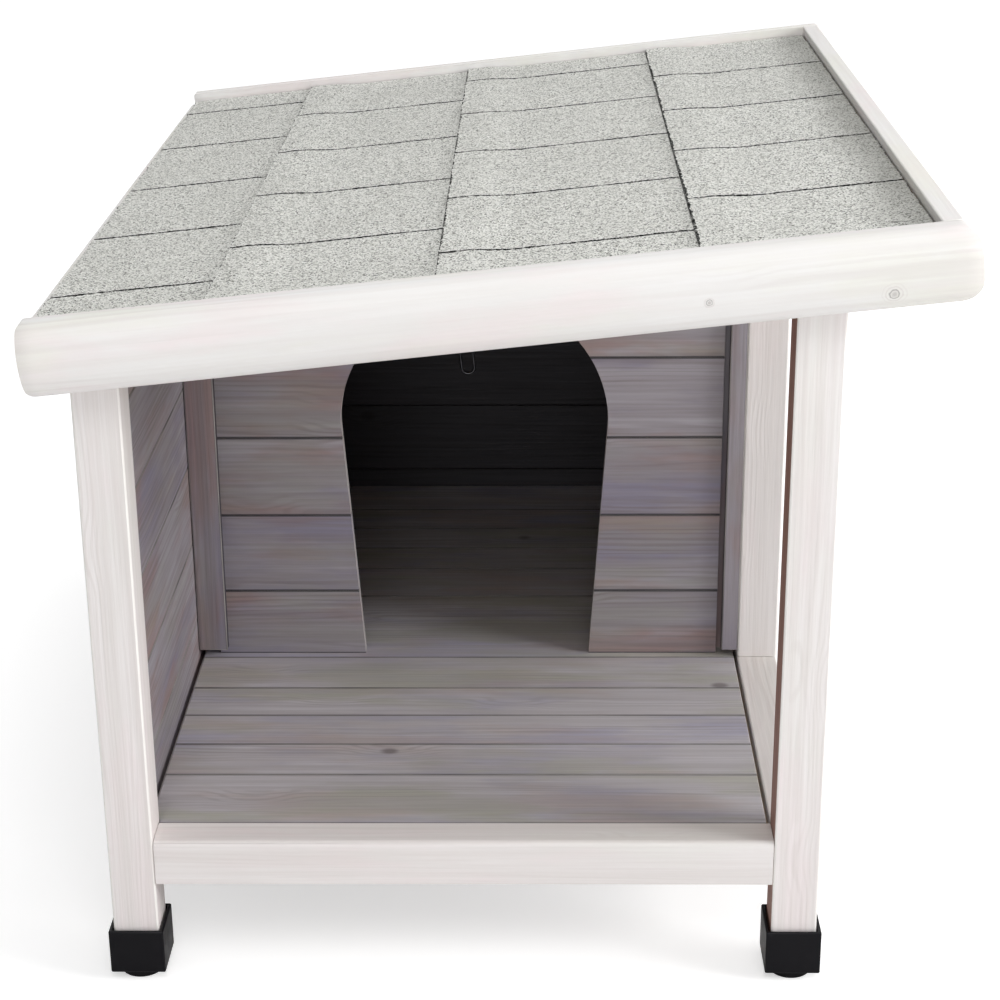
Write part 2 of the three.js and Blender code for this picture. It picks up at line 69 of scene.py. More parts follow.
# %% [markdown]
# ## Places that the rest hangs on
# Lengths are metres. The middle of the posts and the front posts' faces are read from the frame,
# so a change in the model moves everything here. The roof has a frame of its own: x climbs the
# slope, y runs to the rear and z stands square to the deck, with its zero in the trims' top plane.

# %% Sizes and the roof's own frame
MM = 0.001
FLOOR_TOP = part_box("porch_board_1")[1].z
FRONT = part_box("post_front_left")[0].y
MIDDLE = (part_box("post_front_left")[0].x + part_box("post_front_right")[1].x) / 2
SLOPE = math.radians(6)
ROOF_HEIGHT = 620 * MM
ROOF = Matrix.Translation((MIDDLE, FRONT, ROOF_HEIGHT)) @ Matrix.Rotation(-SLOPE, 4, "Y")
FROM_ROOF = ROOF.inverted()
CORNERS = ("front_left", "front_right", "rear_left", "rear_right")
print("floor top", round(FLOOR_TOP, 4), "middle", round(MIDDLE, 4), "front", round(FRONT, 4))

# %% [markdown]
# ## Small helpers for node trees
# Every finish below is a node tree. `add` makes one node, and `fill` either sets or links each of
# its inputs, so that a tree reads from top to bottom like the finish it describes. The rest are
# short names for the nodes that come up again and again.

# %% Node helpers
FLOAT, VECTOR = "NodeSocketFloat", "NodeSocketVector"


def srgb(red, green, blue):
    """A colour given as it looks on a screen, 0 to 255, in the light values that shaders use."""
    def light(v):
        v /= 255
        return v / 12.92 if v <= 0.04045 else ((v + 0.055) / 1.055) ** 2.4
    return (light(red), light(green), light(blue), 1.0)


def fill(tree, node, inputs):
    for key, value in inputs.items():
        if isinstance(value, bpy.types.NodeSocket):
            tree.links.new(value, node.inputs[key])
        else:
            node.inputs[key].default_value = value


def add(tree, kind, settings=None, inputs=None):
    made = tree.nodes.new(kind)
    for name, value in (settings or {}).items():
        setattr(made, name, value)
    fill(tree, made, inputs or {})
    return made


def new_group(name, kind, inputs, outputs):
    tree = bpy.data.node_groups.new(name, kind)
    for label, socket, default in inputs:
        made = tree.interface.new_socket(label, in_out="INPUT", socket_type=socket)
        if default is not None:
            made.default_value = default
    for label, socket in outputs:
        tree.interface.new_socket(label, in_out="OUTPUT", socket_type=socket)
    return tree, tree.nodes.new("NodeGroupInput").outputs, tree.nodes.new("NodeGroupOutput")


def new_material(name):
    material = bpy.data.materials.new(name)
    material.use_nodes = True
    return material, material.node_tree, material.node_tree.nodes["Principled BSDF"]


def sums(tree, operation, a, b=0.0, clamp=False):
    settings = {"operation": operation, "use_clamp": clamp}
    return add(tree, "ShaderNodeMath", settings, {0: a, 1: b}).outputs[0]


def times(tree, a, b, clamp=False):
    return sums(tree, "MULTIPLY", a, b, clamp)


def plus(tree, a, b):
    return sums(tree, "ADD", a, b)


def minus(tree, a, b):
    return sums(tree, "SUBTRACT", a, b)


def vectors(tree, operation, a, b=(0.0, 0.0, 0.0), output="Vector"):
    return add(tree, "ShaderNodeVectorMath", {"operation": operation}, {0: a, 1: b}).outputs[output]


def split(tree, vector):
    return add(tree, "ShaderNodeSeparateXYZ", None, {0: vector}).outputs


def join(tree, x=0.0, y=0.0, z=0.0):
    return add(tree, "ShaderNodeCombineXYZ", None, {0: x, 1: y, 2: z}).outputs[0]


def object_place(tree):
    return add(tree, "ShaderNodeTexCoord").outputs["Object"]


def noise(tree, vector, scale, detail=2.0, roughness=0.5):
    inputs = {"Vector": vector, "Scale": scale, "Detail": detail, "Roughness": roughness}
    return add(tree, "ShaderNodeTexNoise", None, inputs).outputs["Fac"]


def drawn_out(tree, vector, along, across, detail=3.0, roughness=0.5):
    """Noise that changes this often in a metre along the board, and across and through it."""
    stretched = vectors(tree, "MULTIPLY", vector, (along, across, across))
    return noise(tree, stretched, 1.0, detail, roughness)


def remap(tree, value, low, high, to_low=0.0, to_high=1.0, smooth=True):
    settings = {"interpolation_type": "SMOOTHSTEP" if smooth else "LINEAR"}
    inputs = {"Value": value, "From Min": low, "From Max": high, "To Min": to_low, "To Max": to_high}
    return add(tree, "ShaderNodeMapRange", settings, inputs).outputs["Result"]


def mix_colour(tree, amount, a, b):
    return add(tree, "ShaderNodeMix", {"data_type": "RGBA"}, {0: amount, 6: a, 7: b}).outputs[2]


def bump(tree, height, strength, distance):
    inputs = {"Height": height, "Strength": strength, "Distance": distance}
    return add(tree, "ShaderNodeBump", None, inputs).outputs["Normal"]


def attribute(tree, name, output):
    return add(tree, "ShaderNodeAttribute", {"attribute_name": name}).outputs[output]


def group_of(tree, group, inputs):
    return add(tree, "ShaderNodeGroup", {"node_tree": group}, inputs).outputs


print("a screen's middle grey is", round(srgb(128, 128, 128)[0], 3), "in light values")

# %% [markdown]
# ## Pine grain, once for every board
# Sawn pine shows growth bands that wander along the board, long soft streaks, fine fibres, and a
# few knots that the bands flow round. The pattern follows the board, not the room, so each timber
# carries an attribute called `grain`: the distance along the board, across it and through it, with
# a jump from board to board so that no two are alike. The group only puts out masks. Colour is
# chosen in each material.

# %% Shader group: pine grain
def pine_grain():
    tree, given, made = new_group(
        "pine_grain", "ShaderNodeTree",
        [("Vector", VECTOR, None), ("Ring spacing", FLOAT, 0.006), ("Wander", FLOAT, 0.05)],
        [(mask, FLOAT) for mask in ("Figure", "Fibres", "Streaks", "Knots", "Blotches")],
    )
    vector = given["Vector"]
    cells = {"Vector": vectors(tree, "MULTIPLY", vector, (6.5, 9.0, 9.0)), "Scale": 1.0}
    near_knot = add(tree, "ShaderNodeTexVoronoi", None, cells).outputs["Distance"]
    flow = remap(tree, near_knot, 0.34, 0.04)
    drift = drawn_out(tree, vector, 1.6, 24.0)
    across = split(tree, vector)
    ring = plus(tree, across["Y"], times(tree, across["Z"], 0.4))
    ring = plus(tree, ring, times(tree, drift, given["Wander"]))
    ring = plus(tree, ring, times(tree, flow, 0.012))
    phase = times(tree, sums(tree, "DIVIDE", ring, given["Ring spacing"]), 2 * math.pi)
    wave = remap(tree, sums(tree, "SINE", phase), -0.9, 1.0)
    uneven = remap(tree, drawn_out(tree, vector, 2.0, 34.0), 0.38, 0.66)
    fill(tree, made, {
        "Figure": times(tree, sums(tree, "POWER", wave, 2.4), uneven),
        "Fibres": remap(tree, drawn_out(tree, vector, 9.0, 330.0, 3.0, 0.6), 0.25, 0.75),
        "Streaks": remap(tree, drawn_out(tree, vector, 1.3, 130.0, 2.0), 0.32, 0.68),
        "Knots": remap(tree, near_knot, 0.075, 0.03),
        "Blotches": remap(tree, drawn_out(tree, vector, 2.5, 11.0, 3.0, 0.55), 0.3, 0.7),
    })
    return tree


PINE_GRAIN = pine_grain()
print("pine grain:", len(PINE_GRAIN.nodes), "nodes")

# %% [markdown]
# ## Handled edges
# Planed timber has its sharp edges eased. The edge faces carry an attribute called `arris`, and each
# material gives them a paler colour: partly the finish rubbed thin there, and partly a painted highlight
# where light catches the eased edge. This group breaks it up so that the line comes and goes.

# %% Shader group: rubbed edges with a painted highlight
def rubbed_and_highlit_edges():
    tree, given, made = new_group(
        "rubbed_and_highlit_edges", "ShaderNodeTree",
        [("Edge", FLOAT, 0.0), ("Vector", VECTOR, None), ("Amount", FLOAT, 0.7)], [("Rubbed and highlit", FLOAT)],
    )
    broken = remap(tree, drawn_out(tree, given["Vector"], 14.0, 60.0), 0.25, 0.6, 0.35, 1.0)
    worn = times(tree, given["Edge"], broken)
    fill(tree, made, {"Rubbed and highlit": times(tree, worn, given["Amount"], True)})
    return tree


RUBBED_AND_HIGHLIT_EDGES = rubbed_and_highlit_edges()
print("worn edges:", len(RUBBED_AND_HIGHLIT_EDGES.nodes), "nodes")

# %% [markdown]
# ## Wood with a wash or a stain
# One builder serves every timber. From the ground up it lays: the wood's two base tones in big soft
# blotches, patches of other tints that differ from board to board, long streaks, the growth bands
# and the fibres, knots, a dark line where two boards meet, which is partly stain collected there and partly
# painted shade in the seam, and last the edge colour, partly rubbed wood and partly a painted highlight.
# Roughness and bump follow the fibres, which stand up when a water wash dries.

# %% Material builder: stained wood
def stained_wood(
    name, tones, streak, band, knot, edge, amounts, tints=(), seam_stain_and_shade=None, roughness=0.58,
    placed_knots=None,
):
    """`amounts` says how strongly streaks, bands, fibres, knots and the edge colour show, each 0 to 1; the
    edge colour is partly rubbed wood and partly a painted highlight.
    """
    material, tree, shader = new_material(name)
    streak, band, knot, edge = (srgb(*colour) for colour in (streak, band, knot, edge))
    vector = attribute(tree, "grain", "Vector")
    grain = group_of(tree, PINE_GRAIN, {"Vector": vector, "Ring spacing": amounts["ring spacing"]})
    base = mix_colour(tree, grain["Blotches"], *(srgb(*tone) for tone in tones))
    for place, (tint, share) in enumerate(tints):
        shifted = vectors(tree, "ADD", vector, (3.0 * place + 1.5, 0.0, 0.0))
        patch = drawn_out(tree, shifted, 4.0, 16.0, 4.0, 0.62)
        base = mix_colour(tree, remap(tree, patch, 0.47, 0.64, 0.0, share), base, srgb(*tint))
    for mask, amount, colour in (
        ("Streaks", "streaks", streak), ("Figure", "bands", band), ("Fibres", "fibres", band),
        ("Knots", "knots", knot),
    ):
        base = mix_colour(tree, times(tree, grain[mask], amounts[amount]), base, colour)
    if placed_knots:
        marks = group_of(tree, placed_knots, {"Vector": object_place(tree)})
        base = mix_colour(tree, marks["Rings"], base, band)
        base = mix_colour(tree, marks["Core"], base, knot)
    # A darker line along each board's sides: partly stain collected in the joint, partly painted shade in the
    # seam.
    if seam_stain_and_shade:
        sides = split(tree, attribute(tree, "joint", "Vector"))
        nearest = sums(tree, "MINIMUM", sides["X"], sides["Y"])
        near = remap(tree, nearest, 0.4 * MM, 1.8 * MM, 0.9, 0.0)
        base = mix_colour(tree, times(tree, near, sides["Z"]), base, srgb(*seam_stain_and_shade))
    # Edge colour: partly rubbed wood, partly a painted highlight where light catches the eased edge.
    worn = group_of(tree, RUBBED_AND_HIGHLIT_EDGES, {
        "Edge": attribute(tree, "arris", "Fac"), "Vector": vector, "Amount": amounts["edge rubbing and highlight"],
    })["Rubbed and highlit"]
    fibres = grain["Fibres"]
    relief = plus(tree, fibres, times(tree, grain["Figure"], 0.8))
    fill(tree, shader, {
        "Base Color": mix_colour(tree, worn, base, edge),
        "Roughness": remap(tree, fibres, 0.0, 1.0, roughness - 0.06, roughness + 0.08, False),
        "Normal": bump(tree, relief, 0.2, 0.6 * MM),
        "Specular IOR Level": 0.3,
    })
    print("made", name)
    return material


print("wood masks to choose from:", [mask.name for mask in PINE_GRAIN.interface.items_tree
                                     if mask.in_out == "OUTPUT"])

# %% [markdown]
# ## Two knots in the front fascia
# Most knots fall where the grain puts them. Two are given one by one: a ringed one near the high end of
# the front fascia, and a small grey spot further down. The spots are ball-shaped masks, and noise
# bends their outlines.

# %% Shader group: knots at given places
RING_STEP = 2.8 * MM


def knots_at(spots):
    """`spots` lists a centre, the radius of the core and the radius of the outer ring."""
    tree, given, made = new_group(
        "placed_knots", "ShaderNodeTree", [("Vector", VECTOR, None)], [("Core", FLOAT), ("Rings", FLOAT)],
    )
    place = given["Vector"]
    ripple = times(tree, minus(tree, noise(tree, place, 260.0), 0.5), 2.2 * MM)
    core, rings = 0.0, 0.0
    for centre, inner, outer in spots:
        away = plus(tree, vectors(tree, "DISTANCE", place, centre, "Value"), ripple)
        heart = remap(tree, away, inner, inner * 0.4, 0.0, 0.5)
        inside, outside = remap(tree, away, inner * 0.8, inner), remap(tree, away, inner * 1.3, inner)
        core = sums(tree, "MAXIMUM", core, sums(tree, "MAXIMUM", heart, times(tree, inside, outside)))
        wave = remap(tree, sums(tree, "SINE", times(tree, away, 2 * math.pi / RING_STEP)), -0.2, 1.0)
        ring = times(tree, wave, remap(tree, away, outer, inner, 0.0, 0.6))
        rings = sums(tree, "MAXIMUM", rings, ring)
    fill(tree, made, {"Core": core, "Rings": rings})
    return tree


fascia_low, fascia_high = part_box("fascia_front")
RINGED_KNOT = (fascia_high.x - 64.8 * MM, fascia_low.y + 2.4 * MM, fascia_high.z - 47.2 * MM)
GREY_SPOT = (fascia_high.x - 199.9 * MM, fascia_low.y + 0.3 * MM, fascia_high.z - 52.8 * MM)
FASCIA_KNOTS = knots_at([(RINGED_KNOT, 3.6 * MM, 12.5 * MM), (GREY_SPOT, 2.2 * MM, 5.5 * MM)])
print("knots at", [[round(v, 3) for v in spot] for spot in (RINGED_KNOT, GREY_SPOT)])

# %% [markdown]
# ## Whitewashed pine
# The posts, rails and trims are pine under a thin white wash. Where the wash is thin a little pink
# and yellow shows, and knots show as grey ghosts. The fascias got a second coat and are whiter. The
# inner side of the right front post gets a darker, browner copy of the wash: painted shade, brown from the
# light the floor throws back.

# %% Materials: white washes
WHITEWASH = stained_wood(
    "whitewashed_pine", tones=((241, 237, 236), (233, 228, 227)), streak=(223, 217, 214),
    band=(204, 195, 191), knot=(176, 168, 166), edge=(250, 248, 244),
    amounts={
        "ring spacing": 0.0055, "streaks": 0.5, "bands": 0.24, "fibres": 0.16, "knots": 0.5, "edge rubbing and highlight": 0.7,
    },
    tints=[((239, 226, 227), 0.5), ((231, 232, 225), 0.4)],
)
SECOND_COAT = stained_wood(
    "twice_washed_pine", tones=((243, 242, 241), (236, 234, 232)), streak=(230, 226, 222),
    band=(214, 207, 204), knot=(178, 174, 172), edge=(250, 248, 243),
    amounts={"ring spacing": 0.009, "streaks": 0.35, "bands": 0.28, "fibres": 0.1, "knots": 0.0, "edge rubbing and highlight": 0.6},
    tints=[((241, 230, 230), 0.7), ((238, 238, 227), 0.6)], placed_knots=FASCIA_KNOTS,
)
INNER_SHADE_WASH = stained_wood(
    "washed_pine_painted_shade", tones=((172, 134, 122), (154, 116, 104)), streak=(134, 98, 88),
    band=(122, 88, 78), knot=(96, 72, 64), edge=(214, 202, 188),
    amounts={"ring spacing": 0.0055, "streaks": 0.4, "bands": 0.3, "fibres": 0.2, "knots": 0.6, "edge rubbing and highlight": 0.8},
)

# %% [markdown]
# ## Grey stained pine
# The floor, walls and partition are pine under a grey stain that took unevenly: some patches lean
# purple, some red brown, some olive. A darker line runs along the sides of each board, partly stain collected
# in the joint and partly painted shade in the seam. The cut edges round the doorway are paler. The floor
# boards get a much lighter copy of the stain, painted light for the light that falls on them from above, and
# the rear wall's inner side a much darker copy, painted shade for the dim inside of the cabin. Wood that
# nobody sees was left bare.

# %% Materials: grey stain and bare pine
GREY_STAIN = stained_wood(
    "grey_stained_pine", tones=((168, 164, 171), (150, 145, 153)), streak=(137, 130, 135),
    band=(112, 101, 101), knot=(72, 62, 60), edge=(200, 195, 190),
    amounts={
        "ring spacing": 0.006, "streaks": 0.55, "bands": 0.36, "fibres": 0.26, "knots": 0.8, "edge rubbing and highlight": 0.5,
    },
    tints=[((134, 130, 152), 0.8), ((152, 122, 115), 0.7), ((148, 148, 136), 0.45)],
    seam_stain_and_shade=(44, 43, 49), roughness=0.6,
)
FLOOR_LIGHT_STAIN = stained_wood(
    "grey_pine_painted_light", tones=((206, 203, 208), (191, 188, 193)), streak=(177, 172, 175),
    band=(134, 126, 127), knot=(84, 74, 72), edge=(206, 201, 196),
    amounts={"ring spacing": 0.006, "streaks": 0.55, "bands": 0.3, "fibres": 0.24, "knots": 0.6, "edge rubbing and highlight": 0.3},
    tints=[((168, 166, 190), 0.75), ((184, 162, 152), 0.5), ((176, 177, 160), 0.7)],
    seam_stain_and_shade=(52, 50, 55), roughness=0.6,
)
CABIN_SHADE_STAIN = stained_wood(
    "grey_pine_painted_shade", tones=((60, 58, 63), (51, 49, 54)), streak=(44, 41, 44),
    band=(36, 33, 34), knot=(30, 26, 26), edge=(64, 61, 63),
    amounts={"ring spacing": 0.006, "streaks": 0.5, "bands": 0.5, "fibres": 0.3, "knots": 0.8, "edge rubbing and highlight": 0.4},
    seam_stain_and_shade=(24, 23, 25), roughness=0.6,
)
BARE_PINE = stained_wood(
    "bare_pine", tones=((198, 180, 152), (186, 166, 138)), streak=(176, 154, 124),
    band=(152, 126, 94), knot=(98, 70, 50), edge=(208, 192, 166),
    amounts={"ring spacing": 0.007, "streaks": 0.4, "bands": 0.55, "fibres": 0.3, "knots": 0.8, "edge rubbing and highlight": 0.5},
    tints=[((200, 174, 142), 0.6)], roughness=0.68,
)

# %% [markdown]
# ## Felt shingles
# Mineral granules about a millimetre across are rolled into bitumen felt. Each granule has its own
# grey, a few are nearly black, and the cut edges show plain bitumen with crumbs of granules on it.
# An attribute marks the cut edges, and also the black sheet under the tabs, which is painted shade.
# Towards the high trim the granules turn darker in a soft band.

# %% Material: felt shingles
FELT_HIGH_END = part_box("roof_trim_high")[0].x + 5 * MM


def felt():
    material, tree, shader = new_material("mineral_felt")
    place = object_place(tree)
    grains = add(tree, "ShaderNodeTexVoronoi", None, {"Vector": place, "Scale": 880.0, "Randomness": 1.0})
    grey = add(tree, "ShaderNodeSeparateColor", None, {"Color": grains.outputs["Color"]}).outputs["Red"]
    ramp = add(tree, "ShaderNodeValToRGB", None, {"Fac": grey})
    stops = ramp.color_ramp.elements
    stops[0].position, stops[0].color = 0.0, srgb(62, 62, 58)
    stops[1].position, stops[1].color = 1.0, srgb(246, 246, 242)
    for position, colour in ((0.16, (120, 120, 115)), (0.27, (206, 206, 200)), (0.6, (228, 228, 223))):
        stops.new(position).color = srgb(*colour)
    clouds = remap(tree, noise(tree, place, 9.0, 4.0, 0.6), 0.3, 0.7, 0.0, 0.2)
    base = mix_colour(tree, clouds, ramp.outputs["Color"], srgb(190, 190, 184))
    # A soft darker band towards the high trim.
    across = plus(tree, split(tree, place)["X"], times(tree, noise(tree, place, 26.0, 3.0), 30 * MM))
    near_trim = remap(tree, across, FELT_HIGH_END - 45 * MM, FELT_HIGH_END + 12 * MM)
    base = mix_colour(tree, times(tree, near_trim, 0.5), base, srgb(104, 103, 96))
    crumbs = remap(tree, noise(tree, place, 520.0), 0.36, 0.5, 0.35, 1.0)
    bitumen = times(tree, attribute(tree, "rim", "Fac"), crumbs)
    fill(tree, shader, {
        "Base Color": mix_colour(tree, bitumen, base, srgb(20, 20, 19)),
        "Roughness": 0.92,
        "Normal": bump(tree, grains.outputs["Distance"], 0.55, 0.7 * MM),
        "Specular IOR Level": 0.2,
    })
    return material


FELT = felt()
print("made", FELT.name, "darkest from x", round(FELT_HIGH_END, 3))

# %% [markdown]
# ## Zinc plate and moulded plastic
# The hinges are zinc plated steel, cloudy and half dull. The prop wire gets a much darker copy of the plate:
# painted shade, for the dim inside of the cabin where it hangs. The feet are black plastic from a
# spark-eroded mould, so their gloss is broken by a fine even texture.

# %% Materials: zinc and black plastic
def plated(name, dark, light):
    material, tree, shader = new_material(name)
    place = object_place(tree)
    clouds = noise(tree, place, 90.0, 4.0, 0.6)
    fill(tree, shader, {
        "Base Color": mix_colour(tree, remap(tree, clouds, 0.3, 0.7), srgb(*dark), srgb(*light)),
        "Roughness": remap(tree, clouds, 0.2, 0.8, 0.26, 0.46),
        "Metallic": 1.0,
        "Normal": bump(tree, noise(tree, place, 900.0), 0.15, 0.2 * MM),
    })
    return material


def moulded(name, colour, worn, roughness, texture):
    material, tree, shader = new_material(name)
    place = object_place(tree)
    scuffs = remap(tree, noise(tree, place, 60.0, 5.0, 0.65), 0.5, 0.75, 0.0, 0.5)
    dull = noise(tree, place, 35.0, 3.0)
    fill(tree, shader, {
        "Base Color": mix_colour(tree, scuffs, srgb(*colour), srgb(*worn)),
        "Roughness": remap(tree, dull, 0.3, 0.7, roughness - 0.06, roughness + 0.08),
        "Normal": bump(tree, noise(tree, place, texture), 0.25, 0.2 * MM),
        "Specular IOR Level": 0.16,
    })
    return material


ZINC = plated("zinc_plate", (150, 151, 152), (184, 184, 181))
SHADED_ZINC = plated("zinc_painted_shade", (66, 66, 69), (88, 88, 91))
CUP_PLASTIC = moulded("cup_plastic", (9, 8, 13), (20, 19, 23), 0.36, 1500.0)
PAD_PLASTIC = moulded("pad_plastic", (8, 7, 10), (20, 19, 20), 0.5, 900.0)
print("made", [material.name for material in (ZINC, SHADED_ZINC, CUP_PLASTIC, PAD_PLASTIC)])

# %% [markdown]
# ## From a plain solid to a planed timber
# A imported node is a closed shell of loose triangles. A copy is merged, its flat faces are joined
# again, and its long edges get a small rounding. The plain node is then hidden, and the new piece
# stands for it and rides on the same body.

# %% Helpers for timbers
BODY_OF = {node: body for body, nodes in frame["record"]["behaviour"]["bodies"].items() for node in nodes}
SEED = {node: number for number, node in enumerate(sorted(frame["nodes"]))}
BLUNT = math.radians(40)


def copy_of(node):
    bm = bmesh.new()
    bm.from_mesh(frame["nodes"][node].data)
    bmesh.ops.remove_doubles(bm, verts=bm.verts, dist=1e-5)
    bmesh.ops.dissolve_limit(bm, angle_limit=math.radians(1), verts=bm.verts, edges=bm.edges)
    return bm


def ease_edges(bm, width, segments=2, shortest=0.0, sharp=math.radians(25)):
    """Rounds the edges that are sharper than one angle and longer than one length."""
    arris = bm.faces.layers.float.get("arris") or bm.faces.layers.float.new("arris")
    edges = [
        edge for edge in bm.edges
        if len(edge.link_faces) == 2 and edge.calc_face_angle() > sharp and edge.calc_length() > shortest
    ]
    made = bmesh.ops.bevel(
        bm, geom=edges, offset=width, segments=segments, profile=0.5, affect="EDGES", clamp_overlap=True,
    )
    for face in made["faces"]:
        face[arris] = 1.0
        face.smooth = True
    return bm


def write_grain(mesh, order, on_roof, seed):
    """Stores the board's own directions, and how far each place is from the board's two sides.

    `order` names the axes that run along, across and through the board.
    """
    points = np.empty(len(mesh.vertices) * 3)
    mesh.vertices.foreach_get("co", points)
    corner = np.empty(len(mesh.loops), int)
    mesh.loops.foreach_get("vertex_index", corner)
    sides = np.empty(len(mesh.polygons), int)
    mesh.polygons.foreach_get("loop_total", sides)
    board = np.zeros(len(mesh.polygons), int)
    if "board" in mesh.attributes:
        mesh.attributes["board"].data.foreach_get("value", board)
    board = np.repeat(board, sides)
    points = points.reshape(-1, 3)
    if on_roof:
        turn = np.array(FROM_ROOF)
        points = points @ turn[:3, :3].T + turn[:3, 3]
    points = points[corner][:, order]
    shifts = np.random.default_rng(seed).uniform(-5, 5, (board.max() + 1, 3))
    across = points[:, 1]
    lowest, highest = np.full(len(shifts), np.inf), np.full(len(shifts), -np.inf)
    np.minimum.at(lowest, board, across)
    np.maximum.at(highest, board, across)
    joint = np.stack([across - lowest[board], highest[board] - across, np.ones(len(across))], axis=1)
    for name, values in (("grain", points + shifts[board]), ("joint", joint)):
        mesh.attributes.new(name, "FLOAT_VECTOR", "CORNER").data.foreach_set("vector", values.ravel())


def show(name, data):
    shown = bpy.data.objects.new(name, data)
    bpy.context.collection.objects.link(shown)
    return shown


def stand_for(name, mesh, node, material):
    piece = show(name, mesh)
    if not mesh.materials:
        mesh.materials.append(material)
    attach(piece, BODY_OF[node])
    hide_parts(node)
    return piece


def to_mesh(name, bm):
    mesh = bpy.data.meshes.new(name)
    bm.to_mesh(mesh)
    bm.free()
    return mesh


def timber(node, order, material, edge=1.4 * MM, on_roof=False):
    """A post, rail or board: a copy of the node with eased edges and its own grain."""
    mesh = to_mesh(f"{node}_timber", ease_edges(copy_of(node), edge, shortest=8 * MM))
    write_grain(mesh, order, on_roof, SEED[node])
    return stand_for(f"{node}_timber", mesh, node, material)


def paint_shade_on_faces(mesh, material, axis, limit):
    """Gives painted shade, as another material, to the faces whose normal points down an axis, past a limit.
    """
    mesh.materials.append(material)
    for polygon in mesh.polygons:
        polygon.material_index = int(polygon.normal[axis] < limit)


print("nodes with a body:", len(BODY_OF))

# %% [markdown]
# ## Posts, rails and what carries the floor
# The frame is square planed stock, so copies of the solids with eased edges are enough. A post
# stands upright, a rail lies sideways or lengthwise, and the order of the three axes tells the
# grain which way the wood runs. The ledgers and the bearer under the floor were never painted.

# %% Posts, rails and what carries the floor
UPRIGHT, SIDEWAYS, LENGTHWISE = (2, 0, 1), (0, 2, 1), (1, 2, 0)
FLAT_SIDEWAYS, FLAT_LENGTHWISE = (0, 1, 2), (1, 0, 2)
THROUGH_X, THROUGH_Y = 0, 1
for place in (*CORNERS, "middle_right"):
    timber(f"post_{place}", UPRIGHT, WHITEWASH, 1.6 * MM)
for place, order in (
    ("front_bottom", SIDEWAYS), ("rear_bottom", SIDEWAYS), ("left_bottom", LENGTHWISE),
    ("right_bottom", LENGTHWISE), ("left_top", LENGTHWISE), ("right_top", LENGTHWISE),
):
    timber(f"rail_{place}", order, WHITEWASH)
for place, order in (("ledger_front", SIDEWAYS), ("ledger_right", LENGTHWISE), ("bearer", SIDEWAYS)):
    timber(f"floor_{place}", order, BARE_PINE)
# Painted shade: the right front post's faces that look along -x, into the porch, get the darker brown copy of
# the wash.
paint_shade_on_faces(bpy.data.objects["post_front_right_timber"].data, INNER_SHADE_WASH, THROUGH_X, -0.99)

# %% [markdown]
# ## Floor boards, stiles and battens
# The floor boards are thin and lie flat from side to side, with an open seam between them that the
# solids already have. They could be one slab with grooves, but then no board would have its own
# grain. The stiles and battens at the partition's ends stand upright and have the walls' stain.

# %% Floor boards, stiles and battens
# The floor boards take a much lighter copy of the grey stain: painted light, for the light that falls on them
# from above.
for node in frame["nodes"]:
    if node.startswith(("porch_board", "cabin_board")):
        timber(node, FLAT_SIDEWAYS, FLOOR_LIGHT_STAIN, 0.8 * MM)
    if node.startswith(("partition_stile", "partition_batten")):
        timber(node, UPRIGHT, GREY_STAIN, 1.0 * MM)
print("floor boards:", len([n for n in frame["nodes"] if "board" in n]))

# %% [markdown]
# ## Planked walls
# A wall is made of tongued boards, 79 mm to view, with a fine V where two meet. Here each plank is
# a solid of its own with eased edges, and a thin tongue closes the seam, so that no light leaks
# through. The heads of the rear wall and the partition follow the slope of the roof. In the
# partition, each plank's end is cut to the doorway: straight sides that lean outwards up to a
# half-round head.

# %% Plank and doorway outlines
PLANK = 79 * MM
SEAM = 0.5 * MM
TONGUE = 3.5 * MM
UNDER_DECK = 21.3 * MM
DOOR_RADIUS = 126.5 * MM
DOOR_FOOT_HALF = 109.5 * MM
DOOR_MIDDLE = MIDDLE + 3 * MM
DOOR_SPRING = FLOOR_TOP + 240 * MM
DOOR_TOP = DOOR_SPRING + DOOR_RADIUS
ARCH_STEP = 4 * MM


def deck_underside(x):
    return ROOF_HEIGHT + (x - MIDDLE) * math.tan(SLOPE) - UNDER_DECK / math.cos(SLOPE)


def door_half(z):
    """Half the doorway's width at a height."""
    if z <= DOOR_SPRING:
        share = (z - FLOOR_TOP) / (DOOR_SPRING - FLOOR_TOP)
        return DOOR_FOOT_HALF + share * (DOOR_RADIUS - DOOR_FOOT_HALF)
    return math.sqrt(max(DOOR_RADIUS ** 2 - (z - DOOR_SPRING) ** 2, 0.0))


def arch_heights(low, high):
    """Heights up the doorway's edge, closer together towards its top."""
    steps = max(2, round((high - low) / ARCH_STEP))
    lean = 0.5 if high > DOOR_SPRING else 1.0
    return [high - (high - low) * (1 - i / steps) ** (1 / lean) for i in range(steps + 1)]


def plank_outlines(low, high, left, right, top_line, doorway):
    """One outline, or two where the doorway splits the plank, as points (along the wall, height)."""
    head = [(end, top_line(end) if top_line else high) for end in (right, left)]
    if not doorway or low >= DOOR_TOP:
        return [[(left, low), (right, low), *head]]
    edge = [(door_half(z), z) for z in arch_heights(low, min(high, DOOR_TOP))]
    rise = [(DOOR_MIDDLE - half, z) for half, z in edge]
    fall = [(DOOR_MIDDLE + half, z) for half, z in edge]
    if high <= DOOR_TOP:
        return [[(left, low), *rise, (left, high)], [*fall, (right, high), (right, low)]]
    return [[(left, low), *rise, *reversed(fall[:-1]), (right, low), *head]]


print("doorway:", round(2 * DOOR_RADIUS / MM), "mm wide and", round((DOOR_TOP - FLOOR_TOP) / MM, 1), "high")

# %% [markdown]
# ## From an outline to a wall
# A real plank is planed and then cut to length. A flat outline with a Solidify modifier would give
# its thickness, but not the fine V at each seam. So every outline is carried through the wall as a
# closed solid, its edges are eased, and the tongues are added last, so that they stay sharp and
# hidden. The number of its board goes with each face, which gives each plank its own grain.

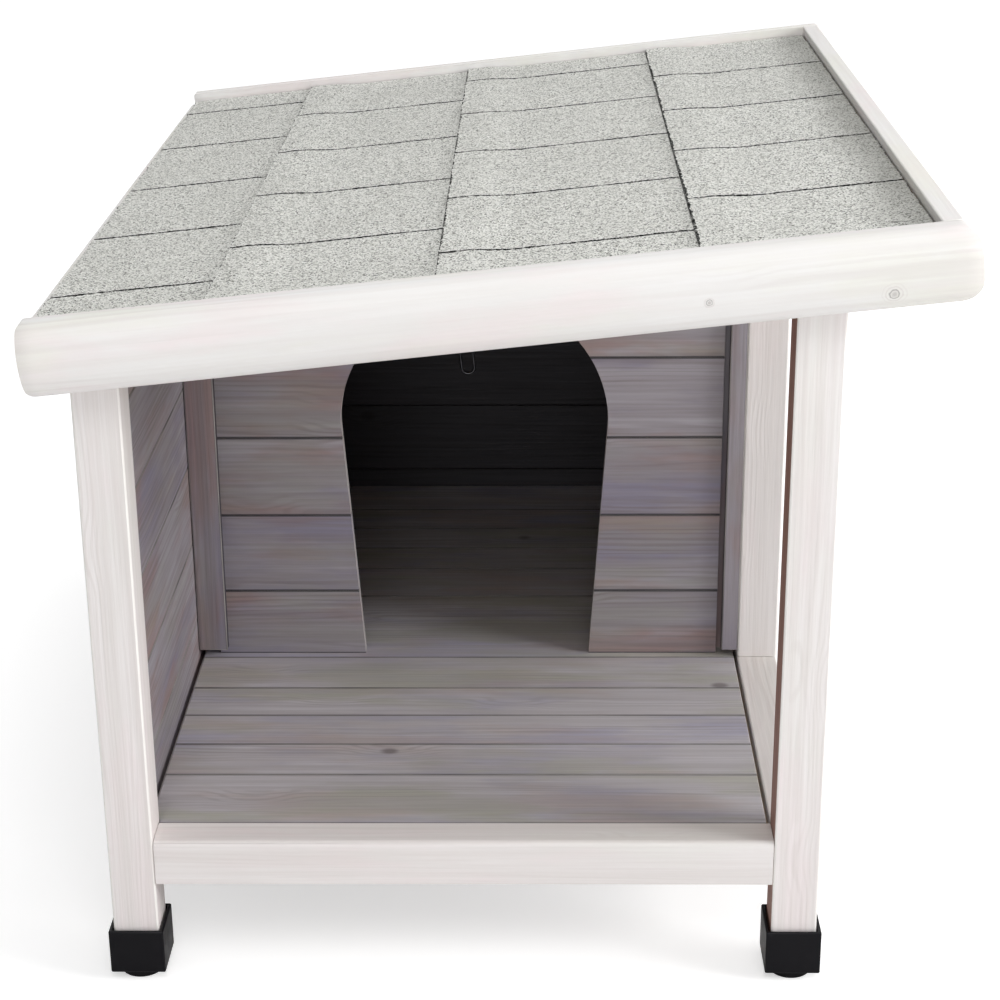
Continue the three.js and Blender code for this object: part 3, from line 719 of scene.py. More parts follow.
# %% Build a planked wall
def prism(bm, outline, thickness_axis, near, far, board):
    """Adds a closed solid: an outline along the wall, carried through the wall's thickness."""
    label = bm.faces.layers.int.get("board")
    rings = []
    for depth in (near, far):
        rings.append([])
        for run, height in outline:
            place = (depth, run, height) if thickness_axis == THROUGH_X else (run, depth, height)
            rings[-1].append(bm.verts.new(place))
    faces = [bm.faces.new(rings[0]), bm.faces.new(list(reversed(rings[1])))]
    for i in range(len(outline)):
        after = (i + 1) % len(outline)
        faces.append(bm.faces.new((rings[0][i], rings[1][i], rings[1][after], rings[0][after])))
    for face in faces:
        face[label] = board
    bmesh.ops.recalc_face_normals(bm, faces=faces)


def planked_wall(node, thickness_axis, foot_plank, sloped=False, doorway=False, edge=0.9 * MM):
    low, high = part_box(node)
    run_axis = 1 - thickness_axis
    left, right = low[run_axis], high[run_axis]
    near, far = low[thickness_axis], high[thickness_axis]
    last = (deck_underside(left) if sloped else high.z) - PLANK / 4
    seams = [z for z in (low.z + foot_plank + PLANK * i for i in range(9)) if z < last]
    heights = [low.z, *seams, high.z]
    bm = bmesh.new()
    bm.faces.layers.int.new("board")
    for board, (foot, head) in enumerate(zip(heights, heights[1:])):
        is_last = head == heights[-1]
        top_line = deck_underside if sloped and is_last else None
        foot += SEAM / 2 if board else 0.0
        head -= 0.0 if is_last else SEAM / 2
        for outline in plank_outlines(foot, head, left, right, top_line, doorway):
            prism(bm, outline, thickness_axis, near, far, board)
    ease_edges(bm, edge, sharp=BLUNT)
    middle = (near + far) / 2
    for board, z in enumerate(seams, len(heights)):
        runs = [(left, right)]
        if doorway and z < DOOR_TOP:
            runs = [(left, DOOR_MIDDLE - door_half(z) - edge), (DOOR_MIDDLE + door_half(z) + edge, right)]
        for start, end in runs:
            outline = [(start, z - TONGUE), (end, z - TONGUE), (end, z + TONGUE), (start, z + TONGUE)]
            prism(bm, outline, thickness_axis, middle - TONGUE / 2, middle + TONGUE / 2, board)
    if doorway:
        arris = bm.faces.layers.float.get("arris")
        for face in bm.faces:
            centre = face.calc_center_median()
            jamb = abs(abs(centre.x - DOOR_MIDDLE) - door_half(centre.z)) < edge / 2
            if jamb and centre.z < DOOR_TOP + edge and abs(face.normal.y) < 0.3:
                face[arris] = 0.8
    mesh = to_mesh(f"{node}_planks", bm)
    write_grain(mesh, (run_axis, 2, thickness_axis), False, SEED[node])
    print(node, "planks:", len(seams) + 1)
    return stand_for(f"{node}_planks", mesh, node, GREY_STAIN)


planked_wall("wall_left", THROUGH_X, foot_plank=52 * MM)
planked_wall("wall_right", THROUGH_X, foot_plank=67 * MM)
rear_wall = planked_wall("wall_rear", THROUGH_Y, foot_plank=33 * MM, sloped=True)
planked_wall("partition", THROUGH_Y, foot_plank=67 * MM, sloped=True, doorway=True)
# Painted shade: the rear wall's faces that look to the front, into the cabin, get the much darker stain.
paint_shade_on_faces(rear_wall.data, CABIN_SHADE_STAIN, THROUGH_Y, -0.3)

# %% [markdown]
# ## Roof timbers
# The deck, the trims and the battens are straight boards again, but they lie in the roof's own
# frame, so their grain is measured there.

# %% Deck, trims and battens
timber("roof_deck", FLAT_LENGTHWISE, BARE_PINE, 0.8 * MM, on_roof=True)
for node in ("roof_trim_low", "roof_trim_high"):
    timber(node, FLAT_LENGTHWISE, SECOND_COAT, 1.2 * MM, on_roof=True)
for node in ("roof_batten_front", "roof_batten_rear"):
    timber(node, FLAT_SIDEWAYS, BARE_PINE, 1.2 * MM, on_roof=True)

# %% [markdown]
# ## Front and rear fascias
# The fascia is a moulding with a half-round nose, which catches the light in one long soft
# highlight, so it needs a finer section than the plain solid. Rows of points run down the section,
# and stations run along the slope. Near its ends every row is drawn in by the roundings of the
# corners, tight at the low end and generous at the high end.

# %% Build a fascia
FASCIA_HEIGHT, FASCIA_DEPTH, FASCIA_NOSE = 57.5 * MM, 36 * MM, 22 * MM
FASCIA_LOW, FASCIA_HIGH = -329 * MM, 386 * MM
LOW_TOP, LOW_FOOT, HIGH_TOP, HIGH_FOOT = 3 * MM, 10 * MM, 13 * MM, 20 * MM
FASCIA_ROWS, FASCIA_STATIONS = 48, 60
ROOF_FRONT, ROOF_REAR = -5 * MM, 893 * MM


def drawn_in(drop, top, foot):
    """How far a row's end is drawn in by the rounded corner above or below it."""
    radius, gap = (top, drop) if drop < top else (foot, FASCIA_HEIGHT - drop)
    if gap >= radius:
        return 0.0
    return radius - math.sqrt(radius ** 2 - (radius - gap) ** 2)


def shade_smooth(mesh, sharp=None):
    """Smooth shading, with edges sharper than an angle in degrees left crisp."""
    for polygon in mesh.polygons:
        polygon.use_smooth = True
    if sharp:
        mesh.set_sharp_from_angle(angle=math.radians(sharp))


def fascia(node, back, outwards):
    bm = bmesh.new()
    straight = FASCIA_DEPTH - FASCIA_NOSE
    rows_back, rows_nose = [], []
    for row in range(FASCIA_ROWS + 1):
        angle = math.pi * row / FASCIA_ROWS
        drop = FASCIA_HEIGHT / 2 * (1 - math.cos(angle))
        reach = straight + FASCIA_NOSE * math.sin(angle)
        start = FASCIA_LOW + drawn_in(drop, LOW_TOP, LOW_FOOT)
        end = FASCIA_HIGH - drawn_in(drop, HIGH_TOP, HIGH_FOOT)
        for rows, away in ((rows_back, 0.0), (rows_nose, reach)):
            rows.append([
                bm.verts.new((start + (end - start) * i / FASCIA_STATIONS, back + outwards * away, -drop))
                for i in range(FASCIA_STATIONS + 1)
            ])
    for row in range(FASCIA_ROWS):
        for grid in (rows_back, rows_nose):
            for i in range(FASCIA_STATIONS):
                bm.faces.new((grid[row][i], grid[row][i + 1], grid[row + 1][i + 1], grid[row + 1][i]))
        for i in (0, FASCIA_STATIONS):
            bm.faces.new((rows_back[row][i], rows_nose[row][i], rows_nose[row + 1][i], rows_back[row + 1][i]))
    for row in (0, FASCIA_ROWS):
        for i in range(FASCIA_STATIONS):
            bm.faces.new((rows_back[row][i], rows_nose[row][i], rows_nose[row][i + 1], rows_back[row][i + 1]))
    bmesh.ops.recalc_face_normals(bm, faces=bm.faces)
    ease_edges(bm, 1.0 * MM, sharp=BLUNT)
    bm.transform(ROOF)
    mesh = to_mesh(f"{node}_moulding", bm)
    write_grain(mesh, SIDEWAYS, True, SEED[node] + 3)
    shade_smooth(mesh, 35)
    stand_for(f"{node}_moulding", mesh, node, SECOND_COAT)
    print(node, "faces:", len(mesh.polygons))


fascia("fascia_front", ROOF_FRONT, -1)
fascia("fascia_rear", ROOF_REAR, 1)

# %% [markdown]
# ## Shingle courses, grown by a node tree
# A course is a strip of felt with slots cut up from its low edge, so that it reads as separate
# tabs. The slots of one course fall between those of the next. The rule is simple, and the edges
# are ragged, which suits Geometry Nodes: a line of points, one for each tab, each carrying a flat
# box as wide as its tab. The boxes are realized, and noise that differs from tab to tab frays their
# edges, so that a slot opens and closes along its length. Cut sides are marked to show bitumen. A thin
# black sheet joins the tabs and is marked the same way; it is painted shade, black in the slots and as a lip
# under the low edge where the step's shadow falls. Last, the whole strip is lifted where it laps over the
# course below, and falls back to the deck in a long soft ramp.

# %% Geometry Nodes: a shingle course
def store(tree, geometry, name, value, domain):
    return add(
        tree, "GeometryNodeStoreNamedAttribute", {"data_type": "FLOAT", "domain": domain},
        {"Geometry": geometry, "Name": name, "Value": value},
    ).outputs[0]


def moved(tree, geometry, how, where):
    return add(tree, "GeometryNodeSetPosition", None, {"Geometry": geometry, how: where}).outputs[0]


def flat_box(tree, size, along, across):
    inputs = {"Size": size, "Vertices X": along, "Vertices Y": across, "Vertices Z": 2}
    return add(tree, "GeometryNodeMeshCube", None, inputs).outputs["Mesh"]


def shingle_tree():
    sizes = ("Low edge", "Head", "Front", "Rear", "First slot", "Tab", "Slot", "Thickness", "Bed",
             "Lap end", "Rise", "Ramp", "Sway", "Fray", "Shade sheet", "Shade lip")
    tree, given, made = new_group(
        "shingle_course", "GeometryNodeTree",
        [*[(name, FLOAT, 0.0) for name in sizes], ("Tabs", "NodeSocketInt", 6),
         ("Seed", "NodeSocketInt", 0), ("Felt", "NodeSocketMaterial", None)],
        [("Geometry", "NodeSocketGeometry")],
    )
    line = add(tree, "GeometryNodeMeshLine", None, {"Count": given["Tabs"], "Offset": (0.0, 0.0, 0.0)})
    index = add(tree, "GeometryNodeInputIndex").outputs["Index"]
    slot_line = plus(tree, given["First slot"], times(tree, index, given["Tab"]))
    before = plus(tree, minus(tree, slot_line, given["Tab"]), given["Slot"])
    start = sums(tree, "MAXIMUM", given["Front"], before)
    end = sums(tree, "MINIMUM", given["Rear"], slot_line)
    length = minus(tree, given["Head"], given["Low edge"])
    middle_x = times(tree, plus(tree, given["Head"], given["Low edge"]), 0.5)
    middle_y = times(tree, plus(tree, end, start), 0.5)
    middle_z = plus(tree, given["Bed"], times(tree, given["Thickness"], 0.5))
    numbered = store(tree, line.outputs[0], "tab", index, "POINT")
    tabs = add(tree, "GeometryNodeInstanceOnPoints", None, {
        "Points": moved(tree, numbered, "Position", join(tree, middle_x, middle_y, middle_z)),
        "Instance": flat_box(tree, (1.0, 1.0, 1.0), 110, 60),
        "Scale": join(tree, length, minus(tree, end, start), given["Thickness"]),
    }).outputs[0]
    strip = add(tree, "GeometryNodeRealizeInstances", None, {"Geometry": tabs}).outputs[0]
    upward = split(tree, add(tree, "GeometryNodeInputNormal").outputs[0])["Z"]
    is_side = add(
        tree, "FunctionNodeCompare", {"data_type": "FLOAT", "operation": "LESS_THAN"},
        {0: sums(tree, "ABSOLUTE", upward), 1: 0.5},
    ).outputs[0]
    marked = store(tree, strip, "rim", is_side, "FACE")

    here = add(tree, "GeometryNodeInputPosition").outputs[0]
    number = add(tree, "GeometryNodeInputNamedAttribute", {"data_type": "FLOAT"}, {"Name": "tab"}).outputs[0]
    own = plus(tree, given["Seed"], times(tree, number, 3.7))
    shifts = []
    for scale, detail, reach in ((22.0, 1.0, given["Sway"]), (260.0, 4.0, given["Fray"])):
        rough = add(
            tree, "ShaderNodeTexNoise", {"noise_dimensions": "4D"},
            {"Vector": here, "W": own, "Scale": scale, "Detail": detail, "Roughness": 0.6},
        ).outputs["Color"]
        centred = vectors(tree, "SUBTRACT", rough, (0.5, 0.5, 0.5))
        flat = {0: vectors(tree, "MULTIPLY", centred, (1.0, 1.0, 0.1)), "Scale": reach}
        shifts.append(add(tree, "ShaderNodeVectorMath", {"operation": "SCALE"}, flat).outputs[0])
    frayed = moved(tree, marked, "Offset", vectors(tree, "ADD", *shifts))

    # A thin black sheet under the tabs, marked to take the bitumen black: painted shade in the slots and as a
    # lip under the low edge.
    run = minus(tree, given["Rear"], given["Front"])
    sheet_place = join(
        tree, minus(tree, middle_x, given["Shade lip"]), plus(tree, given["Front"], times(tree, run, 0.5)),
        plus(tree, given["Bed"], times(tree, given["Shade sheet"], 0.5)),
    )
    sheet = flat_box(tree, join(tree, length, run, given["Shade sheet"]), 60, 2)
    laid = {"Geometry": sheet, "Translation": sheet_place}
    shade_sheet = store(tree, add(tree, "GeometryNodeTransform", None, laid).outputs[0], "rim", 1.0, "FACE")
    course = add(tree, "GeometryNodeJoinGeometry")
    for part in (frayed, shade_sheet):
        tree.links.new(part, course.inputs[0])

    ramp_end = plus(tree, given["Lap end"], given["Ramp"])
    lift = remap(tree, split(tree, here)["X"], ramp_end, given["Lap end"], 0.0, given["Rise"])
    lapped = moved(tree, course.outputs[0], "Offset", join(tree, z=lift))
    finished = add(tree, "GeometryNodeSetMaterial", None, {"Geometry": lapped, "Material": given["Felt"]})
    fill(tree, made, {"Geometry": finished.outputs[0]})
    return tree


def evaluated_mesh(thing):
    """The plain mesh that an object's modifiers or curve settings give; the object then goes."""
    mesh = bpy.data.meshes.new_from_object(thing.evaluated_get(bpy.context.evaluated_depsgraph_get()))
    bpy.data.objects.remove(thing)
    return mesh


def grow(tree, values, start=None):
    """Runs a node tree once and returns its result as a plain mesh."""
    carrier = show("carrier", start or bpy.data.meshes.new("carrier"))
    modifier = carrier.modifiers.new("grow", "NODES")
    modifier.node_group = tree
    for item in tree.interface.items_tree:
        if item.item_type == "SOCKET" and item.in_out == "INPUT" and item.name in values:
            modifier[item.identifier] = values[item.name]
    return evaluated_mesh(carrier)


SHINGLE_TREE = shingle_tree()
print("shingle course:", len(SHINGLE_TREE.nodes), "nodes")

# %% [markdown]
# ## Four courses up the slope
# A roofer starts at the low edge and lets each course cover the head of the one below. The four
# courses differ only in where they lie, so one tree makes them all, each with its own numbers. The
# slots move along by about half a tab from course to course. A little room is left inside the
# plain solid on every side, because the frayed edges reach outwards.

# %% Lay the four courses
FELT_THICKNESS, SEAT = 2.7 * MM, 0.3 * MM
DECK_TOP = -12 * MM
LOW_EDGES = [-329 * MM, -196 * MM, -17.5 * MM, 183.5 * MM]
FELT_HEAD, FELT_REAR = 363 * MM - SEAT, ROOF_REAR - SEAT
LAP, RAMP = 19 * MM, 45 * MM
LOW_ROOM, FRAY_ROOM = 2.6 * MM, 1.2 * MM
TAB_PITCH, TAB_SLOT = 184 * MM, 4.2 * MM
TAB_STARTS = (84 * MM, 175 * MM)
for course, low_edge in enumerate(LOW_EDGES):
    head = FELT_HEAD if course == 3 else LOW_EDGES[course + 1] + LAP
    first_slot = ROOF_FRONT + TAB_STARTS[course % 2]
    strip = grow(SHINGLE_TREE, {
        "Low edge": low_edge + LOW_ROOM, "Head": head - FRAY_ROOM, "Front": ROOF_FRONT + FRAY_ROOM,
        "Rear": FELT_REAR - FRAY_ROOM, "First slot": first_slot, "Tab": TAB_PITCH, "Slot": TAB_SLOT,
        "Thickness": FELT_THICKNESS, "Bed": DECK_TOP + SEAT, "Lap end": low_edge + LAP + SEAT,
        "Rise": FELT_THICKNESS + SEAT if course else 0.0, "Ramp": RAMP, "Sway": 3.4 * MM,
        "Fray": 8.5 * MM, "Shade sheet": 0.6 * MM, "Shade lip": 1.5 * MM,
        "Tabs": math.ceil((FELT_REAR - first_slot) / TAB_PITCH) + 1, "Seed": 11 + 7 * course, "Felt": FELT,
    })
    strip.transform(ROOF)
    node = f"shingle_course_{course + 1}"
    stand_for(f"{node}_felt", strip, node, FELT)
    print(node, "triangles:", 2 * len(strip.polygons))

# %% [markdown]
# ## Feet
# A black cup is pushed over each post's end, with rounded corners and an open top. Below it a
# round pad turns on a threaded stud. The pad is turned from a profile, which is what a lathe does.

# %% Cups and pads
def circle_of(bm, x, y, radius, height, count):
    turns = (2 * math.pi * i / count for i in range(count))
    return [bm.verts.new((x + radius * math.cos(a), y + radius * math.sin(a), height)) for a in turns]


def turned(bm, profile, centre, segments=64):
    """Turns a profile of (radius, height) round a vertical axis; it starts and ends on the axis."""
    rings = [
        circle_of(bm, centre.x, centre.y, radius, height, segments if radius else 1)
        for radius, height in profile
    ]
    for lower, upper in zip(rings, rings[1:]):
        for i in range(segments):
            after = (i + 1) % segments
            if len(lower) == 1:
                bm.faces.new((lower[0], upper[after], upper[i]))
            elif len(upper) == 1:
                bm.faces.new((lower[i], lower[after], upper[0]))
            else:
                bm.faces.new((lower[i], lower[after], upper[after], upper[i]))
    bmesh.ops.recalc_face_normals(bm, faces=bm.faces)


PAD_RADIUS, PAD_HEIGHT, STUD_RADIUS = 18.6 * MM, 7.7 * MM, 4.0 * MM
PAD_PROFILE = [
    (0.0, 0.0), (16.8 * MM, 0.0), (18.0 * MM, 0.35 * MM), (PAD_RADIUS, 1.2 * MM), (PAD_RADIUS, 5.4 * MM),
    (18.1 * MM, 6.4 * MM), (17.0 * MM, 6.9 * MM), (9.0 * MM, PAD_HEIGHT), (STUD_RADIUS, PAD_HEIGHT),
]
THREAD_PITCH, THREAD_DEPTH = 1.5 * MM, 0.5 * MM
for corner in CORNERS:
    cup = ease_edges(copy_of(f"foot_cap_{corner}"), 1.4 * MM, segments=4, shortest=8 * MM)
    stand_for(
        f"foot_cup_{corner}", to_mesh(f"foot_cup_{corner}", cup), f"foot_cap_{corner}", CUP_PLASTIC,
    )
    low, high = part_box(f"foot_pad_{corner}")
    turns = round((high.z - PAD_HEIGHT - 1.0 * MM) / THREAD_PITCH)
    thread = [
        (STUD_RADIUS - THREAD_DEPTH * (step % 2), PAD_HEIGHT + THREAD_PITCH * step / 2)
        for step in range(1, 2 * turns)
    ]
    bm = bmesh.new()
    turned(bm, [*PAD_PROFILE, *thread, (0.0, high.z)], (low + high) / 2)
    pad = to_mesh(f"foot_screw_pad_{corner}", bm)
    shade_smooth(pad, 40)
    stand_for(f"foot_screw_pad_{corner}", pad, f"foot_pad_{corner}", PAD_PLASTIC)
    print("foot", corner, "thread turns:", turns)

# %% [markdown]
# ## Hinges and bracket
# The hinge leaves are folded from sheet steel, so their shape is right as it is, and they only
# need rounded edges. The same goes for the small bracket that the prop hangs in.

# %% Hinges and bracket
for node in frame["nodes"]:
    if node.startswith("hinge_") or node == "prop_bracket":
        mesh = to_mesh(f"{node}_steel", ease_edges(copy_of(node), 0.3 * MM, shortest=1.6 * MM, sharp=BLUNT))
        shade_smooth(mesh, 35)
        stand_for(f"{node}_steel", mesh, node, ZINC)
        print(node, "faces:", len(mesh.polygons))

# %% [markdown]
# ## Roof prop
# The prop is one length of wire, bent into a long hairpin whose two ends turn in to hang in the
# bracket. A curve with a round bevel follows its bends, as the wire followed the bending tool, and
# is then turned into a mesh. A pipe of joined cylinders would show a break at every bend.

# %% Roof prop
WIRE_RADIUS, PROP_WIDTH, PROP_LENGTH = 1.6 * MM, 16.5 * MM, 225 * MM
PROP_BEND, PROP_END_GAP = 2.5 * MM, 2 * MM
PIVOT = ROOF @ Vector((-37.5 * MM, 600 * MM, -48.1 * MM))
LEG = PROP_WIDTH / 2 - WIRE_RADIUS


def prop_route():
    """The wire's middle line: in from one lug, down a leg, round the loop and up the other leg."""
    turn = [
        (LEG - PROP_BEND * (1 - math.sin(a)), -PROP_BEND * (1 - math.cos(a)))
        for a in (math.pi / 2 * i / 5 for i in range(6))
    ]
    side = [(PROP_END_GAP / 2, 0.0), *turn]
    loop_top = -(PROP_LENGTH - LEG - WIRE_RADIUS)
    loop = [
        (LEG * math.cos(a), loop_top - LEG * math.sin(a)) for a in (math.pi * i / 16 for i in range(17))
    ]
    return [*side, *loop, *[(-x, z) for x, z in reversed(side)]]


wire = bpy.data.curves.new("prop_wire", "CURVE")
wire.dimensions = "3D"
wire.bevel_depth = WIRE_RADIUS
wire.bevel_resolution = 5
wire.use_fill_caps = True
spline = wire.splines.new("POLY")
route = prop_route()
spline.points.add(len(route) - 1)
for point, (x, z) in zip(spline.points, route):
    point.co = (x, 0.0, z, 1.0)
wire_mesh = evaluated_mesh(show("prop_wire", wire))
wire_mesh.transform(Matrix.Translation(PIVOT) @ Matrix.Rotation(-SLOPE, 4, "Y"))
shade_smooth(wire_mesh)
# The wire takes the much darker copy of the zinc plate: painted shade.
stand_for("roof_prop_wire", wire_mesh, "roof_prop", SHADED_ZINC)

# %% [markdown]
# ## Screws, placed by a node tree
# The leaves are held by three screws each, and the rails by pairs of screws through the posts. One
# head is made: a shallow dome with a cross recess. A mesh of single points says where the heads go,
# and each point carries an `outwards` direction. The node tree turns a copy of the head to that
# direction at every point.

# %% Make one screw head
def screw_head(radius=3.0 * MM, height=0.9 * MM, around=32, rings=7):
    bm = bmesh.new()
    arm, reach, depth = 0.55 * MM, radius * 0.62, 0.75 * MM
    grid = []
    for ring in range(1, rings + 1):
        out = radius * ring / rings
        dome = height * (1 - 0.75 * (out / radius) ** 2)
        grid.append(circle_of(bm, 0.0, 0.0, out, dome, around))
        for vertex in grid[-1]:
            near, far = sorted((abs(vertex.co.x), abs(vertex.co.y)))
            if near < arm and far < reach:
                vertex.co.z -= depth
    foot = circle_of(bm, 0.0, 0.0, radius, 0.0, around)
    centre = bm.verts.new((0.0, 0.0, height - depth))
    base = bm.verts.new((0.0, 0.0, 0.0))
    for i in range(around):
        after = (i + 1) % around
        bm.faces.new((centre, grid[0][i], grid[0][after]))
        bm.faces.new((base, foot[after], foot[i]))
        for inner, outer in zip(grid, [*grid[1:], foot]):
            bm.faces.new((inner[i], outer[i], outer[after], inner[after]))
    bmesh.ops.recalc_face_normals(bm, faces=bm.faces)
    return to_mesh("screw_head", bm)


def screw_tree():
    tree, given, made = new_group(
        "screws", "GeometryNodeTree",
        [("Places", "NodeSocketGeometry", None), ("Head", "NodeSocketObject", None),
         ("Steel", "NodeSocketMaterial", None)],
        [("Geometry", "NodeSocketGeometry")],
    )
    outwards = add(
        tree, "GeometryNodeInputNamedAttribute", {"data_type": "FLOAT_VECTOR"}, {"Name": "outwards"},
    ).outputs[0]
    turn = add(tree, "FunctionNodeAlignRotationToVector", {"axis": "Z"}, {"Vector": outwards}).outputs[0]
    head = add(tree, "GeometryNodeObjectInfo", None, {"Object": given["Head"]}).outputs["Geometry"]
    copies = {"Points": given["Places"], "Instance": head, "Rotation": turn}
    heads = add(tree, "GeometryNodeInstanceOnPoints", None, copies).outputs[0]
    whole = add(tree, "GeometryNodeRealizeInstances", None, {"Geometry": heads}).outputs[0]
    plain = add(tree, "GeometryNodeSetMaterial", None, {"Geometry": whole, "Material": given["Steel"]})
    fill(tree, made, {"Geometry": plain.outputs[0]})
    return tree


HEAD = show("screw_head", screw_head())
SCREW_TREE = screw_tree()
print("screw head faces:", len(HEAD.data.polygons))

# %% [markdown]
# ## Where the screws go
# The places are read from the leaves, posts and rails that the screws hold, so they follow a change
# in the model. Screws on the roof's leaves ride with the roof, and those on the frame stay with it.
# They could be typed in one by one, but then a taller house would leave them behind.

# %% Where the screws go
def screws(name, body, places):
    """`places` lists (place, outwards direction)."""
    spots, directions = zip(*places)
    points = bpy.data.meshes.new(f"{name}_places")
    points.from_pydata(spots, [], [])
    values = [value for direction in directions for value in direction]
    points.attributes.new("outwards", "FLOAT_VECTOR", "POINT").data.foreach_set("vector", values)
    piece = show(name, grow(SCREW_TREE, {"Head": HEAD, "Steel": ZINC}, points))
    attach(piece, body)
    print(name, len(places))


LEAF_THICKNESS, LEAF_SCREW = 1.5 * MM, 15 * MM
LEAF_SCREWS = (10 * MM, 30 * MM, 50 * MM)
CROSS_RAIL_SHARES, SIDE_RAIL_SHARES = (0.3, 0.7), (0.25, 0.7)
outer_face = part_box("post_front_left")[0].x
roof_ward = tuple(ROOF.to_3x3() @ Vector((1.0, 0.0, 0.0)))
on_frame, on_lid = [], []
for row in ("front", "rear"):
    low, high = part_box(f"hinge_{row}_pin")
    pin = (low + high) / 2
    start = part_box(f"hinge_{row}_fixed_leaf")[0].y
    trim_corner = FROM_ROOF @ Vector((2 * pin.x - outer_face, 0.0, pin.z))
    climb, lift = trim_corner.x + SEAT + LEAF_THICKNESS, trim_corner.z + LEAF_SCREW
    for inset in LEAF_SCREWS:
        on_frame.append(((outer_face - LEAF_THICKNESS, start + inset, pin.z - LEAF_SCREW), (-1.0, 0.0, 0.0)))
        on_lid.append((tuple(ROOF @ Vector((climb, start + inset - FRONT, lift))), roof_ward))
screws("hinge_screws_frame", BODY_OF["post_front_left"], on_frame)
screws("hinge_screws_roof", BODY_OF["roof_deck"], on_lid)


def heights_on(rail, shares):
    foot, head = (corner.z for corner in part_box(rail))
    return [foot + share * (head - foot) for share in shares]


through_posts = []
for side, direction in (("left", -1.0), ("right", 1.0)):
    for row in ("front", "rear"):
        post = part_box(f"post_{row}_{side}")
        face = post[0].x if direction < 0 else post[1].x
        for height in heights_on(f"rail_{row}_bottom", CROSS_RAIL_SHARES):
            through_posts.append(((face, (post[0].y + post[1].y) / 2, height), (direction, 0.0, 0.0)))
    near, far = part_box(f"post_rear_{side}")
    for rail in (f"rail_{side}_bottom", f"rail_{side}_top"):
        for height in heights_on(rail, SIDE_RAIL_SHARES):
            through_posts.append((((near.x + far.x) / 2, far.y, height), (0.0, 1.0, 0.0)))
screws("post_screws", BODY_OF["post_front_left"], through_posts)
bpy.data.objects.remove(HEAD)

# %% [markdown]
# ## Ground and sky
# A pale floor keeps the object's shadow, and grows paler away from it. The background is white to
# the camera only, so it adds no light to the object. Reflections see the same white, and the sky
# fills the shadows evenly. A brighter lamp could whiten the floor too, but it would bleach the wood.

# %% Floor and world
WHITE = (1.0, 1.0, 1.0, 1.0)
SIDE = 30.0
SKY_LIGHT = 0.28
floor_mesh = bpy.data.meshes.new("ground")
floor_corners = [(-SIDE, -SIDE, 0), (SIDE, -SIDE, 0), (SIDE, SIDE, 0), (-SIDE, SIDE, 0)]
floor_mesh.from_pydata(floor_corners, [], [(0, 1, 2, 3)])
ground = show("ground", floor_mesh)
floor_material, floor_tree, floor_shader = new_material("pale_floor")
away = vectors(floor_tree, "LENGTH", object_place(floor_tree), output="Value")
glow = remap(floor_tree, away, 0.6, 2.4, 0.5, 0.75)
to_camera = add(floor_tree, "ShaderNodeLightPath").outputs["Is Camera Ray"]
fill(floor_tree, floor_shader, {
    "Base Color": (0.9, 0.9, 0.9, 1.0), "Roughness": 0.9, "Emission Color": WHITE,
    "Emission Strength": times(floor_tree, to_camera, glow),
})
floor_mesh.materials.append(floor_material)

world = bpy.data.worlds.new("sky")
bpy.context.scene.world = world
world.use_nodes = True
sky = world.node_tree
paths = add(sky, "ShaderNodeLightPath").outputs
mirrored = sums(sky, "MAXIMUM", paths["Is Glossy Ray"], paths["Is Transmission Ray"])
seen = sums(sky, "MAXIMUM", paths["Is Camera Ray"], mirrored)
strength = remap(sky, seen, 0.0, 1.0, SKY_LIGHT, 1.0, False)
fill(sky, sky.nodes["Background"], {"Color": WHITE, "Strength": strength})
print("floor:", 2 * SIDE, "m wide, sky strength:", SKY_LIGHT)

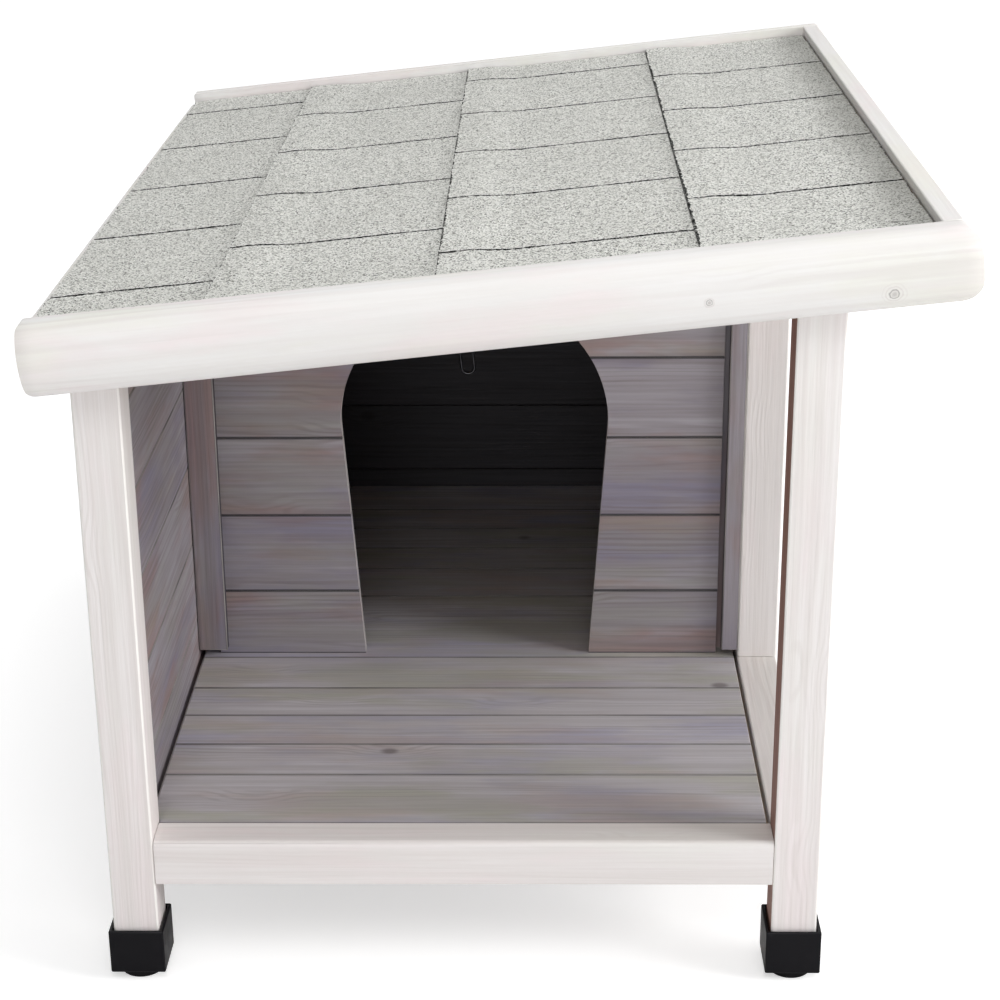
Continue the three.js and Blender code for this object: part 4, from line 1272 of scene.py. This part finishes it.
# %% [markdown]
# ## Lamps
# A broad soft lamp stands low to the right, where it reaches under the roof and lights the left
# wall. A second stands high in front and falls steeply on the porch floor. A weak one, lower in
# front, looks in at the doorway, and one hangs above the roof. Discs give softer shadow edges than
# point lamps, as the cloth of a studio light does.

# %% Lamps
def soft_lamp(name, place, aim, size, power):
    data = bpy.data.lights.new(name, "AREA")
    data.shape = "DISK"
    data.size = size
    data.energy = power
    lamp = show(name, data)
    lamp.location = place
    lamp.rotation_euler = (Vector(aim) - Vector(place)).to_track_quat("-Z", "Y").to_euler()
    print(name, power, "watts")


soft_lamp("key_right", (3.6, -1.2, 1.7), (0.0, -0.2, 0.3), 2.0, 104.0)
soft_lamp("high_front", (0.1, -2.6, 3.0), (0.0, -0.25, 0.3), 1.8, 29.0)
soft_lamp("low_front", (-0.3, -4.2, 1.0), (0.0, 0.0, 0.3), 1.6, 22.0)
soft_lamp("roof_light", (0.6, 0.3, 4.2), (0.0, 0.1, 0.5), 2.4, 52.0)

# %% [markdown]
# ## Camera
# The camera stands a little right of the middle, a good metre and a half in front of the posts and
# a metre up, and looks down at the house. It could be aimed at a point with a constraint, but its
# small turn and tilt are part of the view, so its three directions are worked out from the angles.

# %% Camera
CAMERA_PLACE = Vector((MIDDLE + 60.4 * MM, FRONT - 1583.8 * MM, 1050.7 * MM))
YAW, PITCH, ROLL = math.radians(-0.99), math.radians(21.2), math.radians(-0.45)
SENSOR_WIDTH, LENS = 36.0, 78.63
camera_data = bpy.data.cameras.new("camera")
camera_data.sensor_width = SENSOR_WIDTH
camera_data.lens = LENS
forward = Vector((math.sin(YAW) * math.cos(PITCH), math.cos(YAW) * math.cos(PITCH), -math.sin(PITCH)))
right = Vector((math.cos(YAW), -math.sin(YAW), 0.0))
up = right.cross(forward)
tilted_right = right * math.cos(ROLL) + up * math.sin(ROLL)
tilted_up = up * math.cos(ROLL) - right * math.sin(ROLL)
turn = Matrix((tilted_right, tilted_up, -forward)).transposed().to_4x4()
camera = show("camera", camera_data)
camera.matrix_world = Matrix.Translation(CAMERA_PLACE) @ turn
bpy.context.scene.camera = camera
bpy.context.scene.view_settings.view_transform = "Standard"
print("camera stands", round(CAMERA_PLACE.length, 3), "m from the origin")
